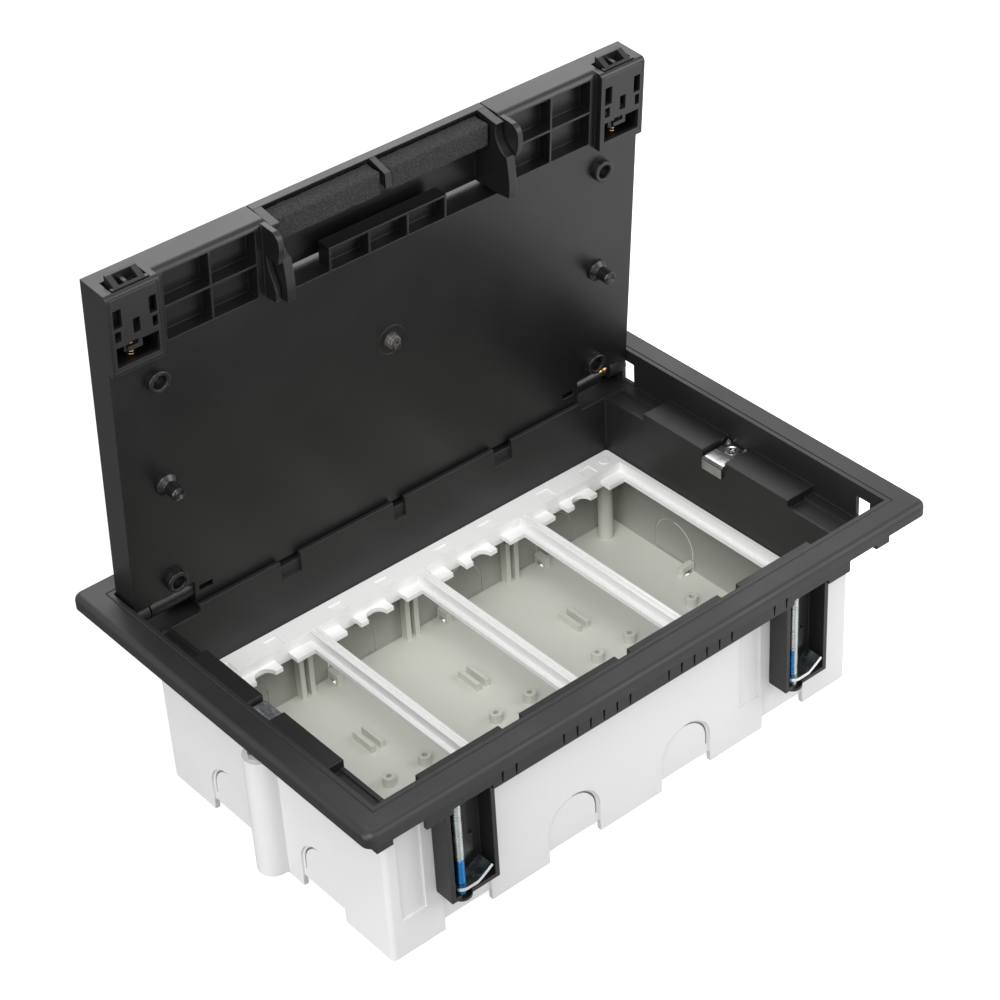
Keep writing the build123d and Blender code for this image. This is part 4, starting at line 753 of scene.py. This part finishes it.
def curled_claw(place):
    """Replace the CAD claw of one housing by a curled sheet."""
    node_name = "claw_" + place
    low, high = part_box(node_name)
    screw_x, screw_y = screw_centre("claw_screw_" + place)
    side = 1 if high[0] - screw_x > screw_x - low[0] else -1
    reach = (high[0] - screw_x) if side > 0 else (screw_x - low[0])
    rise = high[2] - low[2] - curl_sheet * curl_share
    line = [(-claw_round, 0)]
    for k in range(curl_steps + 1):
        share = k / curl_steps
        across = curl_start + (reach - curl_start - tip_inset) * share
        line.append((across, rise * share ** curl_power))
    upper = []
    for k, (across, up) in enumerate(line):
        before = line[max(k - 1, 0)]
        after = line[min(k + 1, len(line) - 1)]
        slope = Vector((after[0] - before[0], after[1] - before[1])).normalized()
        upper.append((across - slope.y * curl_sheet, up + slope.x * curl_sheet))
    outline = [(screw_x + side * a, low[2] + b) for a, b in line + upper[::-1]]
    sheet = pushed(node_name + "_curled", outline, low[1] - MM, high[1] + MM)
    outward = -1 if screw_y < 0 else 1
    front, back = claw_sides
    plan = []
    for k in range(round_steps + 1):
        angle = math.pi / 2 + math.pi * k / round_steps
        plan.append((claw_round * math.cos(angle), claw_round * math.sin(angle)))
    plan += [(0, -front), (reach * plan_reach, -front), (reach * plan_reach, back),
             (math.sqrt(claw_round ** 2 - back ** 2), back)]
    plan = [(screw_x + side * a, screw_y - outward * b) for a, b in plan]
    carve(sheet, pushed("plan", plan, low[2] - 2 * MM, high[2] + 4 * MM, axis="Z"), "INTERSECT")
    hole = ((0, -0.002), (hole_radius, -0.002), (hole_radius, 0.003), (0, 0.003))
    carve(sheet, turned("hole", hole, Matrix.Translation((screw_x, screw_y, low[2]))))
    return finished(sheet, node_name, shaded_claw_zinc, node_name)


for place in claw_places:
    curled_claw(place)

# %% [markdown]
# The springs in the lid are round wire, wound by the same tree. Only the direction changes: the latch springs
# run up the lid and the pin's spring runs along the hinge.

# %% Springs
spring_wire = 0.00024


def wound_spring(node_name, body, along_lid, turns):
    """Replace a CAD spring by one of round wire."""
    low, high = lid_span(node_name)
    if along_lid:
        radius = (high[0] - low[0]) / 2 - spring_wire
        start = on_lid((low[0] + high[0]) / 2, low[1] + spring_wire, (low[2] + high[2]) / 2)
        length = high[1] - low[1] - 2 * spring_wire
        turned_by = (lid_lean, 0, 0)
    else:
        radius = (high[1] - low[1]) / 2 - spring_wire
        start = on_lid(low[0] + spring_wire, (low[1] + high[1]) / 2, (low[2] + high[2]) / 2)
        length = high[0] - low[0] - 2 * spring_wire
        turned_by = (0, math.pi / 2, 0)
    spring = grow(node_name + "_wound", helix_tree, Radius=radius, Wire=spring_wire, Wire_Sides=8,
                  Turns=turns, Steps=24, Length=length, Turned=turned_by, Start=tuple(start),
                  Finish=spring_steel)
    finished(spring, body, spring_steel, node_name)
    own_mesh(spring)


wound_spring("latch_spring_left", "lid", True, 6.0)
wound_spring("latch_spring_right", "lid", True, 6.0)
wound_spring("release_spring", "lid", False, 7.0)

# %% [markdown]
# Pegs and bosses stand on the inner face of the lid. The CAD model has them as plain cylinders. A turned skin
# over each gives what the mould leaves: a tapered collar, rings on the end of a peg, a soft lip on a boss.

# %% Pegs and bosses of the lid
lid_inner_face = 0.0123
boss_across = 0.1032
boss_ups = (0.1043, 0.0117)
peg_up = 0.0573
centre_up = 0.072
peg_skin = (
    (0, -0.2), (4.5, -0.2), (4.5, 1.1), (4.35, 1.3), (3.05, 2.6), (2.85, 2.75), (2.75, 2.9), (2.75, 7.7),
    (2.5, 8.25), (2.2, 8.4), (1.95, 8.06), (1.7, 8.06), (1.45, 8.4), (1.2, 8.4), (1.0, 8.07), (0.5, 8.07),
    (0.3, 8.3), (0, 8.3),
)
boss_skin = (
    (2.85, -0.2), (4.5, -0.2), (4.45, 2.4), (4.3, 2.7), (4.0, 2.85), (3.5, 2.87), (3.1, 2.75), (2.85, 2.4),
)
gate_skin = (
    (0, -0.2), (3.35, -0.2), (3.3, 0.3), (3.0, 1.4), (2.55, 2.15), (2.2, 2.4), (2.0, 2.8), (1.95, 3.8),
    (1.5, 4.2), (0.9, 4.05), (0, 4.15),
)
gate_ring = ((5.8, -0.1), (5.95, 0.1), (6.2, 0.1), (6.5, -0.1))
gate_uneven = 0.0004
gate_lumps = 450.0


def lid_stand(across, up, depth):
    """A matrix that stands on the lid, with Z pointing inwards."""
    columns = Matrix((Vector((1, 0, 0)), lid_in.cross(Vector((1, 0, 0))), lid_in)).transposed().to_4x4()
    return Matrix.Translation(on_lid(across, up, depth)) @ columns


def lid_skin(name, skin, across, up, finish, sides=40):
    """A turned skin at one place of the lid."""
    outline = [(radius * MM, height * MM) for radius, height in skin]
    piece = turned(name, outline, lid_stand(across, up, lid_inner_face), sides)
    return finished(piece, "lid", finish)


for side, place in ((-1, "left"), (1, "right")):
    lid_skin("peg_skin_" + place, peg_skin, side * boss_across, peg_up, peg_plastic)
    for row, up in zip(("upper", "lower"), boss_ups):
        lid_skin("boss_skin_" + row + "_" + place, boss_skin, side * boss_across, up, lid_plastic)
torn = lid_skin("gate_skin", gate_skin, 0, centre_up, gate_plastic, 24)
for vert in torn.data.vertices:
    vert.co += noise.noise_vector(vert.co * gate_lumps) * gate_uneven
lid_skin("gate_ring", gate_ring, 0, centre_up, lid_plastic, 64)

# %% [markdown]
# The two pads close the cable outlet round the cables. Foam is cut, not sewn, so no cloth is needed: a block
# is remeshed into small faces, its corners soften by themselves, and a noise moves the skin.

# %% Foam pads
foam_inset = 0.0003
foam_voxel = 0.0006
foam_skin = ((900.0, 0.00022), (160.0, 0.00018))


def foam_pad(node_name):
    """Replace a CAD pad by a softened block with an uneven skin."""
    low, high = lid_span(node_name)
    builder = bmesh.new()
    bmesh.ops.create_cube(builder, size=1.0)
    for vert in builder.verts:
        measure = [(low[k] + foam_inset if vert.co[k] < 0 else high[k] - foam_inset) for k in range(3)]
        vert.co = on_lid(*measure)
    bmesh.ops.recalc_face_normals(builder, faces=builder.faces)
    pad = made_object(node_name + "_foam", builder)
    remesh = pad.modifiers.new("remesh", "REMESH")
    remesh.mode = "VOXEL"
    remesh.voxel_size = foam_voxel
    smooth = pad.modifiers.new("smooth", "SMOOTH")
    smooth.iterations = 4
    settle(pad)
    for vert in pad.data.vertices:
        uneven = sum(noise.noise(vert.co * scale) * size for scale, size in foam_skin)
        vert.co += vert.normal * uneven
    pad.data.materials.clear()
    pad.data.materials.append(foam)
    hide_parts(node_name)
    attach(pad, "flap")
    print(pad.name, len(pad.data.polygons), "faces")


foam_pad("foam_pad_left")
foam_pad("foam_pad_right")

# %% [markdown]
# The studio is a floor, a white world and four soft lamps. The world is white to the camera and to
# reflections, and softer as a lamp, so the background is white without flooding the object with light. The
# floor is pale in front, where the lid mirrors it, and dull behind, so that the dark flanks stay dark.

# %% Floor, world and lamps
floor_data = bpy.data.meshes.new("floor")
floor_reach = 6.0
floor_data.from_pydata(
    [(-floor_reach, -floor_reach, 0), (floor_reach, -floor_reach, 0), (floor_reach, floor_reach, 0),
     (-floor_reach, floor_reach, 0)], [], [(0, 1, 2, 3)])
floor = bpy.data.objects.new("floor", floor_data)
scene.collection.objects.link(floor)
pale, tree, shader = start_material("pale floor", Roughness=0.9)
place = put(tree, "ShaderNodeSeparateXYZ", {0: own_place(tree)})
ahead = maths(tree, "SUBTRACT", place.outputs["X"], place.outputs["Y"])
tone = blend(tree, ramp(tree, ahead, -0.2, 0.35), grey(120), grey(245))
tree.links.new(tone, shader.inputs["Base Color"])
path = put(tree, "ShaderNodeLightPath")
glow = put(tree, "ShaderNodeEmission", {"Color": (1, 1, 1, 1), "Strength": 0.85})
clear = put(tree, "ShaderNodeEmission", {"Color": (0, 0, 0, 1), "Strength": 0.0})
lift = put(tree, "ShaderNodeMixShader",
           {0: path.outputs["Is Camera Ray"], 1: clear.outputs[0], 2: glow.outputs[0]})
both = put(tree, "ShaderNodeAddShader", {0: shader.outputs[0], 1: lift.outputs[0]})
output = next(node for node in tree.nodes if node.type == "OUTPUT_MATERIAL")
tree.links.new(both.outputs[0], output.inputs["Surface"])
floor_data.materials.append(pale)

world = bpy.data.worlds.new("studio")
scene.world = world
world.use_nodes = True
tree = world.node_tree
tree.nodes.clear()
path = put(tree, "ShaderNodeLightPath")
seen = maths(tree, "MAXIMUM", path.outputs["Is Camera Ray"], path.outputs["Is Glossy Ray"])
seen = maths(tree, "MAXIMUM", seen, path.outputs["Is Transmission Ray"])
level = ramp(tree, seen, 0.0, 1.0, 0.55, 1.0)
sky = put(tree, "ShaderNodeBackground", {"Color": (1, 1, 1, 1), "Strength": level})
put(tree, "ShaderNodeOutputWorld", {"Surface": sky.outputs[0]})


def lamp(name, place, aim, size, power):
    """A soft square lamp that points at a place."""
    data = bpy.data.lights.new(name, "AREA")
    data.size = size
    data.energy = power
    light = bpy.data.objects.new(name, data)
    light.location = place
    light.rotation_euler = (Vector(place) - Vector(aim)).to_track_quat("Z", "Y").to_euler()
    scene.collection.objects.link(light)


middle = (0, 0, 0.1)
lamp("key", (-0.7, -0.6, 1.2), middle, 0.9, 14.5)
lamp("fill", (1.0, -1.0, 0.8), middle, 1.0, 11)
lamp("back", (0.6, 0.95, 1.15), middle, 0.9, 7)
lamp("side", (-1.2, -0.1, 0.35), middle, 0.7, 6.5)
scene.view_settings.view_transform = "Standard"

# %% The end
import json
